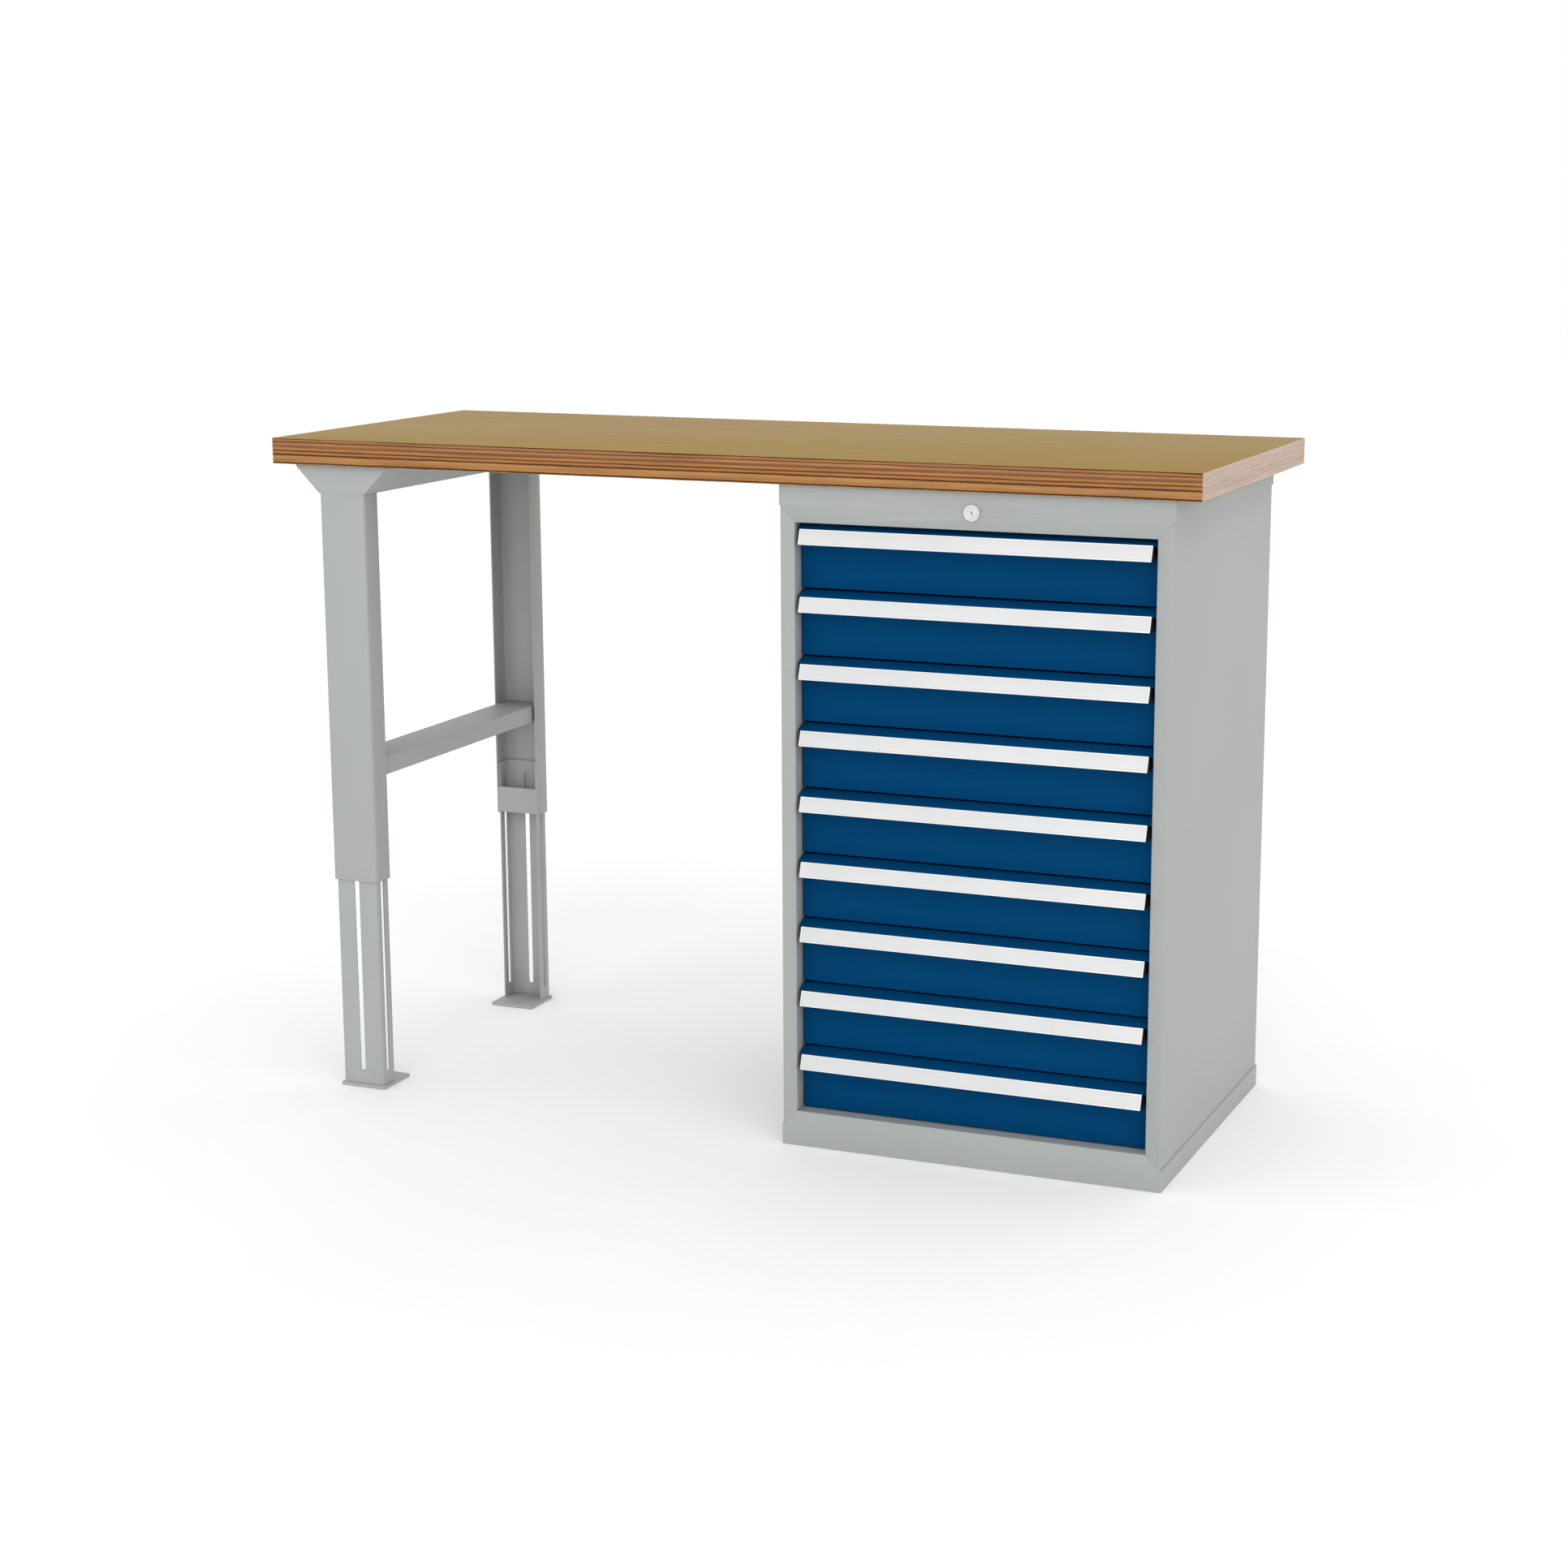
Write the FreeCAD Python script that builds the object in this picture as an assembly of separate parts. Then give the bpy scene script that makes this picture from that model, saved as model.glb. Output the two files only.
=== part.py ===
"""Workbench with a nine-drawer cabinet at the right and a height-adjustable leg frame at the left.

Millimetres. X runs along the bench, Y from the front to the back, Z up from the floor.
The origin is on the floor, under the middle of the worktop.
"""
import FreeCAD, Part
import math
import os

Vector = FreeCAD.Vector

# ---------------------------------------------------------------- driving dimensions
# Bench and worktop
BENCH_LENGTH = 1500.0
BENCH_DEPTH = 600.0
BENCH_HEIGHT = 1050.0
TOP_THICKNESS = 40.0
TOP_EDGE_BREAK = 0.8

# Drawer cabinet
CABINET_WIDTH = 600.0
CABINET_DEPTH = 560.0
CABINET_END_OVERHANG = 40.0
CABINET_FRONT_OVERHANG = 8.0
BAND_SHEET = 2.0
CASE_SHEET = 1.5
CASE_BEND = 0.75
TOP_BAND_HEIGHT = 31.0
BOTTOM_BAND_HEIGHT = 33.0
PLINTH_HEIGHT = 55.0
HEAD_HEIGHT = 55.0
FLOOR_FLANGE = 25.0
STILE_WIDTH = 25.0
STILE_DEPTH = 40.0
REAR_FLANGE = 20.0
SEAM_GAP = 0.4
CASE_FIT = 0.2
# Share of the half width that a round end takes, just under all of it.
ROUND_END = 0.995

# Drawers
DRAWER_COUNT = 9
DRAWER_GAP = 3.0
FRONT_SIDE_GAP = 2.0
FRONT_RECESS = 22.0
FRONT_SHEET = 1.5
FRONT_RETURN = 15.0
LIP_REACH = 17.0
LIP_FALL = 8.5
LIP_UNDERCUT = 7.0
TRAY_BACK_CLEARANCE = 31.5
TRAY_SHEET = 1.5
TRAY_FLOOR_RISE = 12.0
TRAY_HEADROOM = 13.0

# Grip strip on each drawer front
GRIP_SHEET = 2.0
GRIP_BEND = 0.2
GRIP_TOP_REACH = 19.0
GRIP_BOTTOM_REACH = 27.0
GRIP_TOP_DROP = 10.0
GRIP_HEIGHT = 22.0
GRIP_LEG = 10.0
GRIP_INSET = 4.0
GRIP_RIM = 1.6
GRIP_RIM_HEIGHT = 1.2
LABEL_THICKNESS = 0.8
CAP_THICKNESS = 1.2
CAP_MARGIN = 1.2

# Telescopic runners
POST_WIDTH = 30.0
POST_FOOT = 13.0
POST_INSET = 60.0
RAIL_RISE = 40.0
RAIL_HEIGHT = 34.0
RAIL_SHEET = 1.5
RAIL_SETBACK = 3.0
RAIL_FRONT_CLEARANCE = 1.5
RAIL_BACK_CLEARANCE = 13.5
RAIL_PAIR_GAP = 4.0
SLIDE_WEB = 2.0
SLIDE_SIDE_GAP = 3.0
SLIDE_RUNNING_GAP = 2.5
SLIDE_SPACE = 20.0

# Lock
LOCK_DROP = 30.0
LOCK_RING_RADIUS = 12.0
LOCK_RING_HEIGHT = 2.5
LOCK_BARREL_RADIUS = 9.5
LOCK_BARREL_LENGTH = 25.0
LOCK_PLUG_RADIUS = 8.0
LOCK_RUNNING_FIT = 0.05
KEYHOLE_WIDTH = 1.6
KEYHOLE_HEIGHT = 6.0
KEYHOLE_DEPTH = 5.0
KEYHOLE_ANGLE = 35.0
CAM_THROW = 12.0
CAM_WIDTH = 12.0
CAM_SHEET = 2.5
CAM_PIN_RADIUS = 2.0
CAM_PIN_FIT = 0.3
CAM_PIN_RISE = 2.6
LOCK_GAP = 0.5
LOCK_EAR_HEIGHT = 10.0
LOCK_ARM_HEIGHT = 12.0
LOCK_ARM_RISE = 5.0
LOCK_BAR_SHEET = 2.0
LOCK_ROD_WIDTH = 8.0
LOCK_ROD_INSET = 11.0
LOCK_TAB_DROP = 38.0
LOCK_TAB_HEIGHT = 4.0
LOCK_TAB_DEPTH = 4.0
LOCK_TAB_REACH = 8.0
LOCK_TAB_CLEARANCE = 1.5

# Leg frame
LEG_CENTRE_FROM_END = 116.0
LEG_EDGE_INSET = 10.0
LEG_WIDTH = 80.0
LEG_DEPTH = 40.0
LEG_SHEET = 2.5
LEG_BEND = 3.0
LEG_FIT = 0.5
OUTER_LEG_BOTTOM = 345.0
INNER_LEG_TOP = 435.0
SLOT_WIDTH = 8.6
SLOT_BOTTOM = 26.0
SLOT_TOP_MARGIN = 20.0
STRAP_HEIGHT = 45.0
STRAP_RISE = 2.0
FOOT_THICKNESS = 5.0
FOOT_CORNER = 1.5
BEAM_DEPTH = 45.0
BEAM_TOP_WIDTH = 168.0
BEAM_SHEET = 2.5
BEAM_BEND = 0.5
CROSSBAR_BOTTOM = 512.0
CROSSBAR_HEIGHT = 30.0
CROSSBAR_SHEET = 2.0

# Fasteners
SCREW_RADIUS = 2.9
SCREW_FIT = 0.1
SCREW_HEAD_RADIUS = 5.5
SCREW_HEAD_HEIGHT = 3.5
SCREW_GRIP = 28.0
SCREW_EDGE_INSET = 50.0
BEAM_SCREW_MARGIN = 3.0
BEAM_FLANGE_MARGIN = 10.0
BEAM_SCREWS_PER_ROW = 4
ACCESS_RADIUS = 9.0
BOLT_RADIUS = 4.0
BOLT_HOLE_RADIUS = 4.5
BOLT_HEAD_FLATS = 13.0
BOLT_HEAD_HEIGHT = 5.3
NUT_HEIGHT = 6.5
BOLT_PROJECTION = 10.0
BOLT_FIRST_RISE = 11.0
BOLT_PITCH = 24.0

# ---------------------------------------------------------------- derived places
TOP_UNDERSIDE = BENCH_HEIGHT - TOP_THICKNESS
BENCH_FRONT = -BENCH_DEPTH / 2
BENCH_BACK = BENCH_DEPTH / 2

CASE_RIGHT = BENCH_LENGTH / 2 - CABINET_END_OVERHANG
CASE_LEFT = CASE_RIGHT - CABINET_WIDTH
CASE_CENTRE = (CASE_LEFT + CASE_RIGHT) / 2
CASE_FRONT = BENCH_FRONT + CABINET_FRONT_OVERHANG
CASE_BACK = CASE_FRONT + CABINET_DEPTH
WALL_OUTER = CASE_LEFT + BAND_SHEET
WALL_INNER = WALL_OUTER + CASE_SHEET
WALL_BACK = CASE_BACK - BAND_SHEET
OPENING_LEFT = CASE_LEFT + STILE_WIDTH
OPENING_RIGHT = CASE_RIGHT - STILE_WIDTH
OPENING_TOP = TOP_UNDERSIDE - HEAD_HEIGHT
DRAWER_PITCH = (OPENING_TOP - PLINTH_HEIGHT) / DRAWER_COUNT

FRONT_FACE = CASE_FRONT + FRONT_RECESS
FRONT_LEFT = OPENING_LEFT + FRONT_SIDE_GAP
FRONT_RIGHT = OPENING_RIGHT - FRONT_SIDE_GAP
TRAY_FRONT = FRONT_FACE + FRONT_SHEET
TRAY_BACK = WALL_BACK - 2 * CASE_SHEET - TRAY_BACK_CLEARANCE
TRAY_LEFT = OPENING_LEFT + SLIDE_SPACE
TRAY_RIGHT = OPENING_RIGHT - SLIDE_SPACE

RAIL_LEFT = OPENING_LEFT - RAIL_SETBACK
RAIL_FRONT = CASE_FRONT + STILE_DEPTH + RAIL_FRONT_CLEARANCE
RAIL_BACK = WALL_BACK - 2 * CASE_SHEET - RAIL_BACK_CLEARANCE
RAIL_FLANGE = (TRAY_LEFT - RAIL_LEFT - RAIL_PAIR_GAP) / 2
SLIDE_LEFT = RAIL_LEFT + RAIL_SHEET + SLIDE_SIDE_GAP
SLIDE_RIGHT = TRAY_LEFT - RAIL_SHEET - SLIDE_SIDE_GAP
SLIDE_HEIGHT = RAIL_HEIGHT - 2 * RAIL_SHEET - 2 * SLIDE_RUNNING_GAP

LOCK_HEIGHT = TOP_UNDERSIDE - LOCK_DROP
BARREL_END = CASE_FRONT + BAND_SHEET + LOCK_BARREL_LENGTH
PLUG_END = BARREL_END + LOCK_GAP
CAM_END = PLUG_END + CAM_SHEET
LOCK_BAR_FRONT = CAM_END + LOCK_GAP
LOCK_ARM_BOTTOM = OPENING_TOP + CASE_SHEET + LOCK_ARM_RISE
LOCK_ROD_X = CASE_RIGHT - LOCK_ROD_INSET
LOCK_TRAVEL = CAM_THROW
LOCK_TAB_END = FRONT_RIGHT - LOCK_TAB_REACH + FRONT_SIDE_GAP

LEG_X = -BENCH_LENGTH / 2 + LEG_CENTRE_FROM_END
LEG_FRONT = BENCH_FRONT + LEG_EDGE_INSET
BEAM_BOTTOM = TOP_UNDERSIDE - BEAM_DEPTH
BEAM_SCREW_OFFSET = LEG_WIDTH / 2 - ACCESS_RADIUS - BEAM_SCREW_MARGIN
BEAM_FLANGE_EDGE = BEAM_SCREW_OFFSET - BEAM_FLANGE_MARGIN
FOOT_SIZE = LEG_WIDTH
INNER_LEG_INSET = LEG_SHEET + LEG_FIT
INNER_LEG_DEPTH = LEG_DEPTH - 2 * INNER_LEG_INSET
SLOT_TOP = INNER_LEG_TOP - SLOT_TOP_MARGIN

DRAWERS = range(1, DRAWER_COUNT + 1)


# ---------------------------------------------------------------- shape helpers
def spot(axis, level, point):
    """A point (u, v) of a section, placed on the plane at level across the axis."""
    u, v = point
    return {"X": Vector(level, u, v), "Y": Vector(u, level, v), "Z": Vector(u, v, level)}[axis]


def block(x0, x1, y0, y1, z0, z1):
    """A box between two corners."""
    return Part.makeBox(x1 - x0, y1 - y0, z1 - z0, Vector(x0, y0, z0))


def rod(axis, x, y, z, radius, length):
    """A cylinder that starts at a point and runs along +axis."""
    direction = {"X": Vector(1, 0, 0), "Y": Vector(0, 1, 0), "Z": Vector(0, 0, 1)}[axis]
    return Part.makeCylinder(radius, length, Vector(x, y, z), direction)


def prism(points, axis, start, end, radii=None):
    """A closed section, its corners rounded to their radii, drawn out along the axis."""
    radii = radii or [0.0] * len(points)
    flat = [Vector(u, v, 0) for u, v in points]
    arcs = []
    for i, (here, radius) in enumerate(zip(flat, radii)):
        back = (flat[i - 1] - here).normalize()
        ahead = (flat[(i + 1) % len(flat)] - here).normalize()
        half = back.getAngle(ahead) / 2
        bisector = (back + ahead).normalize() if radius else Vector(0, 0, 0)
        reach = radius / math.tan(half)
        middle = here + bisector * (radius / math.sin(half) - radius)
        arcs.append((here + back * reach, middle, here + ahead * reach, radius))
    edges = []
    for i, (entry, middle, leave, radius) in enumerate(arcs):
        if radius:
            places = [spot(axis, start, (p.x, p.y)) for p in (entry, middle, leave)]
            edges.append(Part.Arc(*places).toShape())
        following = arcs[(i + 1) % len(arcs)][0]
        ends = [spot(axis, start, (p.x, p.y)) for p in (leave, following)]
        edges.append(Part.LineSegment(*ends).toShape())
    face = Part.Face(Part.Wire(edges))
    return face.extrude(spot(axis, end - start, (0, 0)))


def folded(path, sheet, bend, axis, start, end):
    """Folded sheet: an open section whose thickness lies to the left of its path."""
    flat = [Vector(u, v, 0) for u, v in path]
    runs = [(b - a).normalize() for a, b in zip(flat, flat[1:])]
    lefts = [Vector(-run.y, run.x, 0) for run in runs]
    inner = [flat[0] + lefts[0] * sheet]
    near_radii = [0.0]
    far_radii = [0.0]
    for i in range(1, len(flat) - 1):
        both = lefts[i - 1] + lefts[i]
        inner.append(flat[i] + both * (sheet / (1 + lefts[i - 1].dot(lefts[i]))))
        turns_left = runs[i - 1].cross(runs[i]).z > 0
        near_radii.append(bend + sheet if turns_left else bend)
        far_radii.append(bend if turns_left else bend + sheet)
    inner.append(flat[-1] + lefts[-1] * sheet)
    near_radii.append(0.0)
    far_radii.append(0.0)
    outline = list(path) + [(p.x, p.y) for p in reversed(inner)]
    return prism(outline, axis, start, end, near_radii + far_radii[::-1])


def hexagon(axis, x, y, z, flats, height):
    """A hexagonal head or nut that starts at a point and runs along +axis."""
    radius = flats / math.sqrt(3)
    u, v, level = {"X": (y, z, x), "Y": (x, z, y), "Z": (x, y, z)}[axis]
    angles = [math.radians(60 * i) for i in range(6)]
    corners = [(u + radius * math.cos(a), v + radius * math.sin(a)) for a in angles]
    return prism(corners, axis, level, level + height)


def slot_cutter(axis, centre, bottom, top, start, end):
    """An upright round-ended slot through a wall, along X or Y."""
    half = SLOT_WIDTH / 2
    points = [(centre - half, bottom), (centre + half, bottom), (centre + half, top), (centre - half, top)]
    return prism(points, axis, start, end, [half * ROUND_END] * 4)


def joined(shapes):
    """One solid made of overlapping or touching shapes."""
    return shapes[0].multiFuse(shapes[1:]).removeSplitter()


def mirrored_in_case(shape):
    """The same shape on the other side of the cabinet's middle plane."""
    return shape.mirror(Vector(CASE_CENTRE, 0, 0), Vector(1, 0, 0))


def mirrored_front_to_back(shape):
    """The same shape on the other side of the bench's middle plane."""
    return shape.mirror(Vector(0, 0, 0), Vector(0, 1, 0))


# ---------------------------------------------------------------- fastener places
def beam_screw_places():
    """Places of the screws that hold the worktop to the top beam."""
    first = LEG_FRONT + SCREW_EDGE_INSET
    step = -2 * first / (BEAM_SCREWS_PER_ROW - 1)
    rows = (LEG_X - BEAM_SCREW_OFFSET, LEG_X + BEAM_SCREW_OFFSET)
    return [(x, first + step * i) for x in rows for i in range(BEAM_SCREWS_PER_ROW)]


def cabinet_screw_places():
    """Places of the screws that hold the worktop to the cabinet's top plate."""
    columns = (CASE_LEFT + SCREW_EDGE_INSET, CASE_CENTRE, CASE_RIGHT - SCREW_EDGE_INSET)
    rows = (CASE_FRONT + SCREW_EDGE_INSET, CASE_BACK - SCREW_EDGE_INSET)
    return [(x, y) for x in columns for y in rows]


def screw_holes(places, bottom, top, radius):
    """Upright holes at the given places."""
    return [rod("Z", x, y, bottom, radius, top - bottom) for x, y in places]


def bolt_heights():
    """Heights of the clamp bolts on each leg."""
    return [OUTER_LEG_BOTTOM + BOLT_FIRST_RISE + BOLT_PITCH * i for i in range(2)]


# ---------------------------------------------------------------- worktop
def worktop():
    """Multiplex board with broken edges and pilot holes in its underside."""
    board = block(
        -BENCH_LENGTH / 2, BENCH_LENGTH / 2, BENCH_FRONT, BENCH_BACK, TOP_UNDERSIDE, BENCH_HEIGHT
    )
    board = board.makeChamfer(TOP_EDGE_BREAK, board.Edges)
    places = beam_screw_places() + cabinet_screw_places()
    hole_end = TOP_UNDERSIDE + SCREW_GRIP + SCREW_FIT
    return board.cut(screw_holes(places, TOP_UNDERSIDE - 1, hole_end, SCREW_RADIUS + SCREW_FIT))


def worktop_screw(x, y, plate):
    """One screw under a plate of the given thickness."""
    seat = TOP_UNDERSIDE - plate
    head = rod("Z", x, y, seat - SCREW_HEAD_HEIGHT, SCREW_HEAD_RADIUS, SCREW_HEAD_HEIGHT)
    shank = rod("Z", x, y, seat, SCREW_RADIUS, plate + SCREW_GRIP)
    return head.fuse(shank)


def worktop_screws():
    """All screws that hold the worktop down."""
    beam = [worktop_screw(x, y, BEAM_SHEET) for x, y in beam_screw_places()]
    cabinet = [worktop_screw(x, y, BAND_SHEET) for x, y in cabinet_screw_places()]
    return Part.makeCompound(beam + cabinet)


# ---------------------------------------------------------------- cabinet case
def band(bottom, top):
    """The proud skirts round the two sides and the back, between two heights."""
    outer = block(CASE_LEFT, CASE_RIGHT, CASE_FRONT, CASE_BACK, bottom, top)
    inner = block(
        WALL_OUTER, CASE_RIGHT - BAND_SHEET, CASE_FRONT - 1, WALL_BACK, bottom - 1, top + 1
    )
    return outer.cut(inner)


def frame_rail(outer_edge, band_edge, opening_edge):
    """Front rail of the frame, mitred to the stiles, between an outer edge and the opening."""
    points = [
        (CASE_LEFT, outer_edge),
        (CASE_LEFT, band_edge),
        (WALL_OUTER, band_edge),
        (OPENING_LEFT, opening_edge),
        (OPENING_RIGHT, opening_edge),
        (CASE_RIGHT - BAND_SHEET, band_edge),
        (CASE_RIGHT, band_edge),
        (CASE_RIGHT, outer_edge),
    ]
    return prism(points, "Y", CASE_FRONT, CASE_FRONT + BAND_SHEET)


def cabinet_base():
    """Plinth with proud skirts, flanges that stand on the floor, and the deck under the drawers."""
    plinth = frame_rail(0, BOTTOM_BAND_HEIGHT, PLINTH_HEIGHT)
    floor_ring = block(CASE_LEFT, CASE_RIGHT, CASE_FRONT, CASE_BACK, 0, BAND_SHEET).cut(
        block(
            CASE_LEFT + FLOOR_FLANGE,
            CASE_RIGHT - FLOOR_FLANGE,
            CASE_FRONT + FLOOR_FLANGE,
            CASE_BACK - FLOOR_FLANGE,
            -1,
            BAND_SHEET + 1,
        )
    )
    deck = block(
        WALL_INNER + CASE_FIT,
        CASE_RIGHT - BAND_SHEET - CASE_SHEET - CASE_FIT,
        CASE_FRONT + BAND_SHEET,
        WALL_BACK - 2 * CASE_SHEET - CASE_FIT,
        PLINTH_HEIGHT - BAND_SHEET,
        PLINTH_HEIGHT,
    )
    return joined([plinth, floor_ring, band(0, BOTTOM_BAND_HEIGHT), deck])


def cabinet_cap():
    """Top plate with proud skirts, the head panel over the drawers and its return."""
    head = frame_rail(TOP_UNDERSIDE, TOP_UNDERSIDE - TOP_BAND_HEIGHT, OPENING_TOP)
    plate = block(
        CASE_LEFT, CASE_RIGHT, CASE_FRONT, CASE_BACK, TOP_UNDERSIDE - BAND_SHEET, TOP_UNDERSIDE
    )
    ceiling = block(
        WALL_INNER + CASE_FIT,
        CASE_RIGHT - BAND_SHEET - CASE_SHEET - CASE_FIT,
        CASE_FRONT + BAND_SHEET,
        CASE_FRONT + STILE_DEPTH,
        OPENING_TOP,
        OPENING_TOP + CASE_SHEET,
    )
    cap = joined([head, plate, band(TOP_UNDERSIDE - TOP_BAND_HEIGHT, TOP_UNDERSIDE), ceiling])
    lock_hole = rod(
        "Y", CASE_CENTRE, CASE_FRONT - 1, LOCK_HEIGHT, LOCK_BARREL_RADIUS + CASE_FIT, BAND_SHEET + 2
    )
    rod_passage = block(
        LOCK_ROD_X - LOCK_BAR_SHEET / 2 - LOCK_TAB_CLEARANCE,
        LOCK_ROD_X + LOCK_BAR_SHEET / 2 + LOCK_TAB_CLEARANCE,
        LOCK_BAR_FRONT - LOCK_TAB_CLEARANCE,
        CASE_FRONT + STILE_DEPTH + 1,
        OPENING_TOP - 1,
        OPENING_TOP + CASE_SHEET + 1,
    )
    holes = screw_holes(
        cabinet_screw_places(), TOP_UNDERSIDE - BAND_SHEET - 1, TOP_UNDERSIDE + 1, SCREW_RADIUS + SCREW_FIT
    )
    return cap.cut([lock_hole, rod_passage] + holes)


def cabinet_left_side():
    """Side wall, front stile and rear flange in one folding, with mitred stile ends."""
    wall_path = [
        (WALL_OUTER, CASE_FRONT + BAND_SHEET),
        (WALL_OUTER, WALL_BACK),
        (WALL_OUTER + REAR_FLANGE, WALL_BACK),
    ]
    stile_path = [
        (OPENING_LEFT, CASE_FRONT + STILE_DEPTH),
        (OPENING_LEFT, CASE_FRONT),
        (WALL_OUTER, CASE_FRONT),
        (WALL_OUTER, CASE_FRONT + STILE_DEPTH),
    ]
    corner_path = [
        (WALL_OUTER + 2 * CASE_SHEET, CASE_FRONT),
        (WALL_OUTER, CASE_FRONT),
        (WALL_OUTER, CASE_FRONT + STILE_DEPTH),
    ]
    band_top = BOTTOM_BAND_HEIGHT + SEAM_GAP
    band_bottom = TOP_UNDERSIDE - TOP_BAND_HEIGHT - SEAM_GAP
    mitre_rise = 2 * CASE_SHEET
    face_outline = [
        (WALL_OUTER + CASE_BEND, band_top + CASE_BEND),
        (OPENING_LEFT - CASE_BEND, PLINTH_HEIGHT + SEAM_GAP - CASE_BEND),
        (OPENING_LEFT - CASE_BEND, OPENING_TOP - SEAM_GAP + CASE_BEND),
        (WALL_OUTER + CASE_BEND, band_bottom - CASE_BEND),
    ]
    wall = folded(wall_path[::-1], CASE_SHEET, CASE_BEND, "Z", BAND_SHEET, TOP_UNDERSIDE - BAND_SHEET)
    stile = folded(
        stile_path[::-1], CASE_SHEET, CASE_BEND, "Z", PLINTH_HEIGHT + SEAM_GAP, OPENING_TOP - SEAM_GAP
    )
    face = prism(face_outline, "Y", CASE_FRONT, CASE_FRONT + CASE_SHEET)
    corner = folded(
        corner_path[::-1], CASE_SHEET, CASE_BEND, "Z", band_top + mitre_rise, band_bottom - mitre_rise
    )
    return joined([wall, stile, face, corner])


def cabinet_right_side():
    """The left side's mirror image, with slots in the stile for the lock's tabs."""
    side = mirrored_in_case(cabinet_left_side())
    slots = [
        block(
            OPENING_RIGHT - 1,
            OPENING_RIGHT + CASE_SHEET + 1,
            LOCK_BAR_FRONT - LOCK_TAB_CLEARANCE,
            LOCK_BAR_FRONT + LOCK_TAB_DEPTH + LOCK_TAB_CLEARANCE,
            tab_height(number) - LOCK_TAB_CLEARANCE,
            tab_height(number) + LOCK_TAB_HEIGHT + LOCK_TRAVEL + LOCK_TAB_CLEARANCE,
        )
        for number in DRAWERS
    ]
    return side.cut(slots)


def cabinet_back_panel():
    """Flat back sheet, inside the rear flanges."""
    edge = WALL_INNER + CASE_BEND + CASE_FIT
    return block(
        edge,
        2 * CASE_CENTRE - edge,
        WALL_BACK - 2 * CASE_SHEET,
        WALL_BACK - CASE_SHEET,
        BAND_SHEET,
        TOP_UNDERSIDE - BAND_SHEET,
    )


# ---------------------------------------------------------------- runners
def runner_post(y):
    """One hat-section post on the left wall, in the middle of whose width is y."""
    half = POST_WIDTH / 2
    path = [
        (WALL_INNER, y - half - POST_FOOT),
        (WALL_INNER, y - half),
        (RAIL_LEFT, y - half),
        (RAIL_LEFT, y + half),
        (WALL_INNER, y + half),
        (WALL_INNER, y + half + POST_FOOT),
    ]
    clear_path = [(u + CASE_SHEET if u == WALL_INNER else u, v) for u, v in path]
    return folded(clear_path, CASE_SHEET, CASE_BEND, "Z", PLINTH_HEIGHT, OPENING_TOP)


def runner_posts():
    """Two posts on each side wall, at the front and the back of the runners."""
    left = [runner_post(RAIL_FRONT + POST_INSET), runner_post(RAIL_BACK - POST_INSET)]
    return Part.makeCompound(left + [mirrored_in_case(post) for post in left])


def drawer_floor(number):
    """Height of the bottom of a drawer's place. Drawer 1 is the top one."""
    return PLINTH_HEIGHT + (DRAWER_COUNT - number) * DRAWER_PITCH


def rail_height(number):
    """Height of the middle of a drawer's runners."""
    return drawer_floor(number) + RAIL_RISE


def tab_height(number):
    """Height of the underside of a drawer's lock tab, unlocked."""
    return drawer_floor(number) + DRAWER_PITCH - LOCK_TAB_DROP


def channel(back, opening, middle, start, end):
    """A C rail along Y: its web at back, its flanges reaching to opening."""
    bottom = middle - RAIL_HEIGHT / 2
    top = middle + RAIL_HEIGHT / 2
    path = [(opening, bottom), (back, bottom), (back, top), (opening, top)]
    if opening > back:
        path = path[::-1]
    return folded(path, RAIL_SHEET, RAIL_SHEET / 2, "Y", start, end)


def cabinet_runners():
    """The fixed rail at each side of each drawer."""
    left = [
        channel(RAIL_LEFT, RAIL_LEFT + RAIL_FLANGE, rail_height(n), RAIL_FRONT, RAIL_BACK) for n in DRAWERS
    ]
    return Part.makeCompound(left + [mirrored_in_case(rail) for rail in left])


def drawer_slides(number):
    """The two middle rails of a drawer's telescopic runners, H-shaped in section."""
    middle = rail_height(number)
    centre = (SLIDE_LEFT + SLIDE_RIGHT) / 2
    high = SLIDE_HEIGHT / 2
    low = high - SLIDE_WEB
    web_face = centre - SLIDE_WEB / 2
    upper = [(SLIDE_LEFT, high), (SLIDE_LEFT, low), (web_face, low)]
    half_section = upper + [(u, -v) for u, v in reversed(upper)]
    section = half_section + [(2 * centre - u, v) for u, v in reversed(half_section)]
    points = [(u, middle + v) for u, v in section]
    slide = prism(points, "Y", RAIL_FRONT, RAIL_BACK)
    return Part.makeCompound([slide, mirrored_in_case(slide)])


# ---------------------------------------------------------------- drawers
def drawer_tray(number):
    """Open sheet tray with a drawer rail on each side."""
    floor = drawer_floor(number) + TRAY_FLOOR_RISE
    rim = drawer_floor(number) + DRAWER_PITCH - TRAY_HEADROOM
    tray = block(TRAY_LEFT, TRAY_RIGHT, TRAY_FRONT, TRAY_BACK, floor, rim)
    hollow = block(
        TRAY_LEFT + TRAY_SHEET,
        TRAY_RIGHT - TRAY_SHEET,
        TRAY_FRONT + TRAY_SHEET,
        TRAY_BACK - TRAY_SHEET,
        floor + TRAY_SHEET,
        rim + 1,
    )
    rail = channel(
        TRAY_LEFT, TRAY_LEFT - RAIL_FLANGE, rail_height(number), TRAY_FRONT + FRONT_RETURN, TRAY_BACK
    )
    return Part.makeCompound([tray.cut(hollow), rail, mirrored_in_case(rail)])


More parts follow.
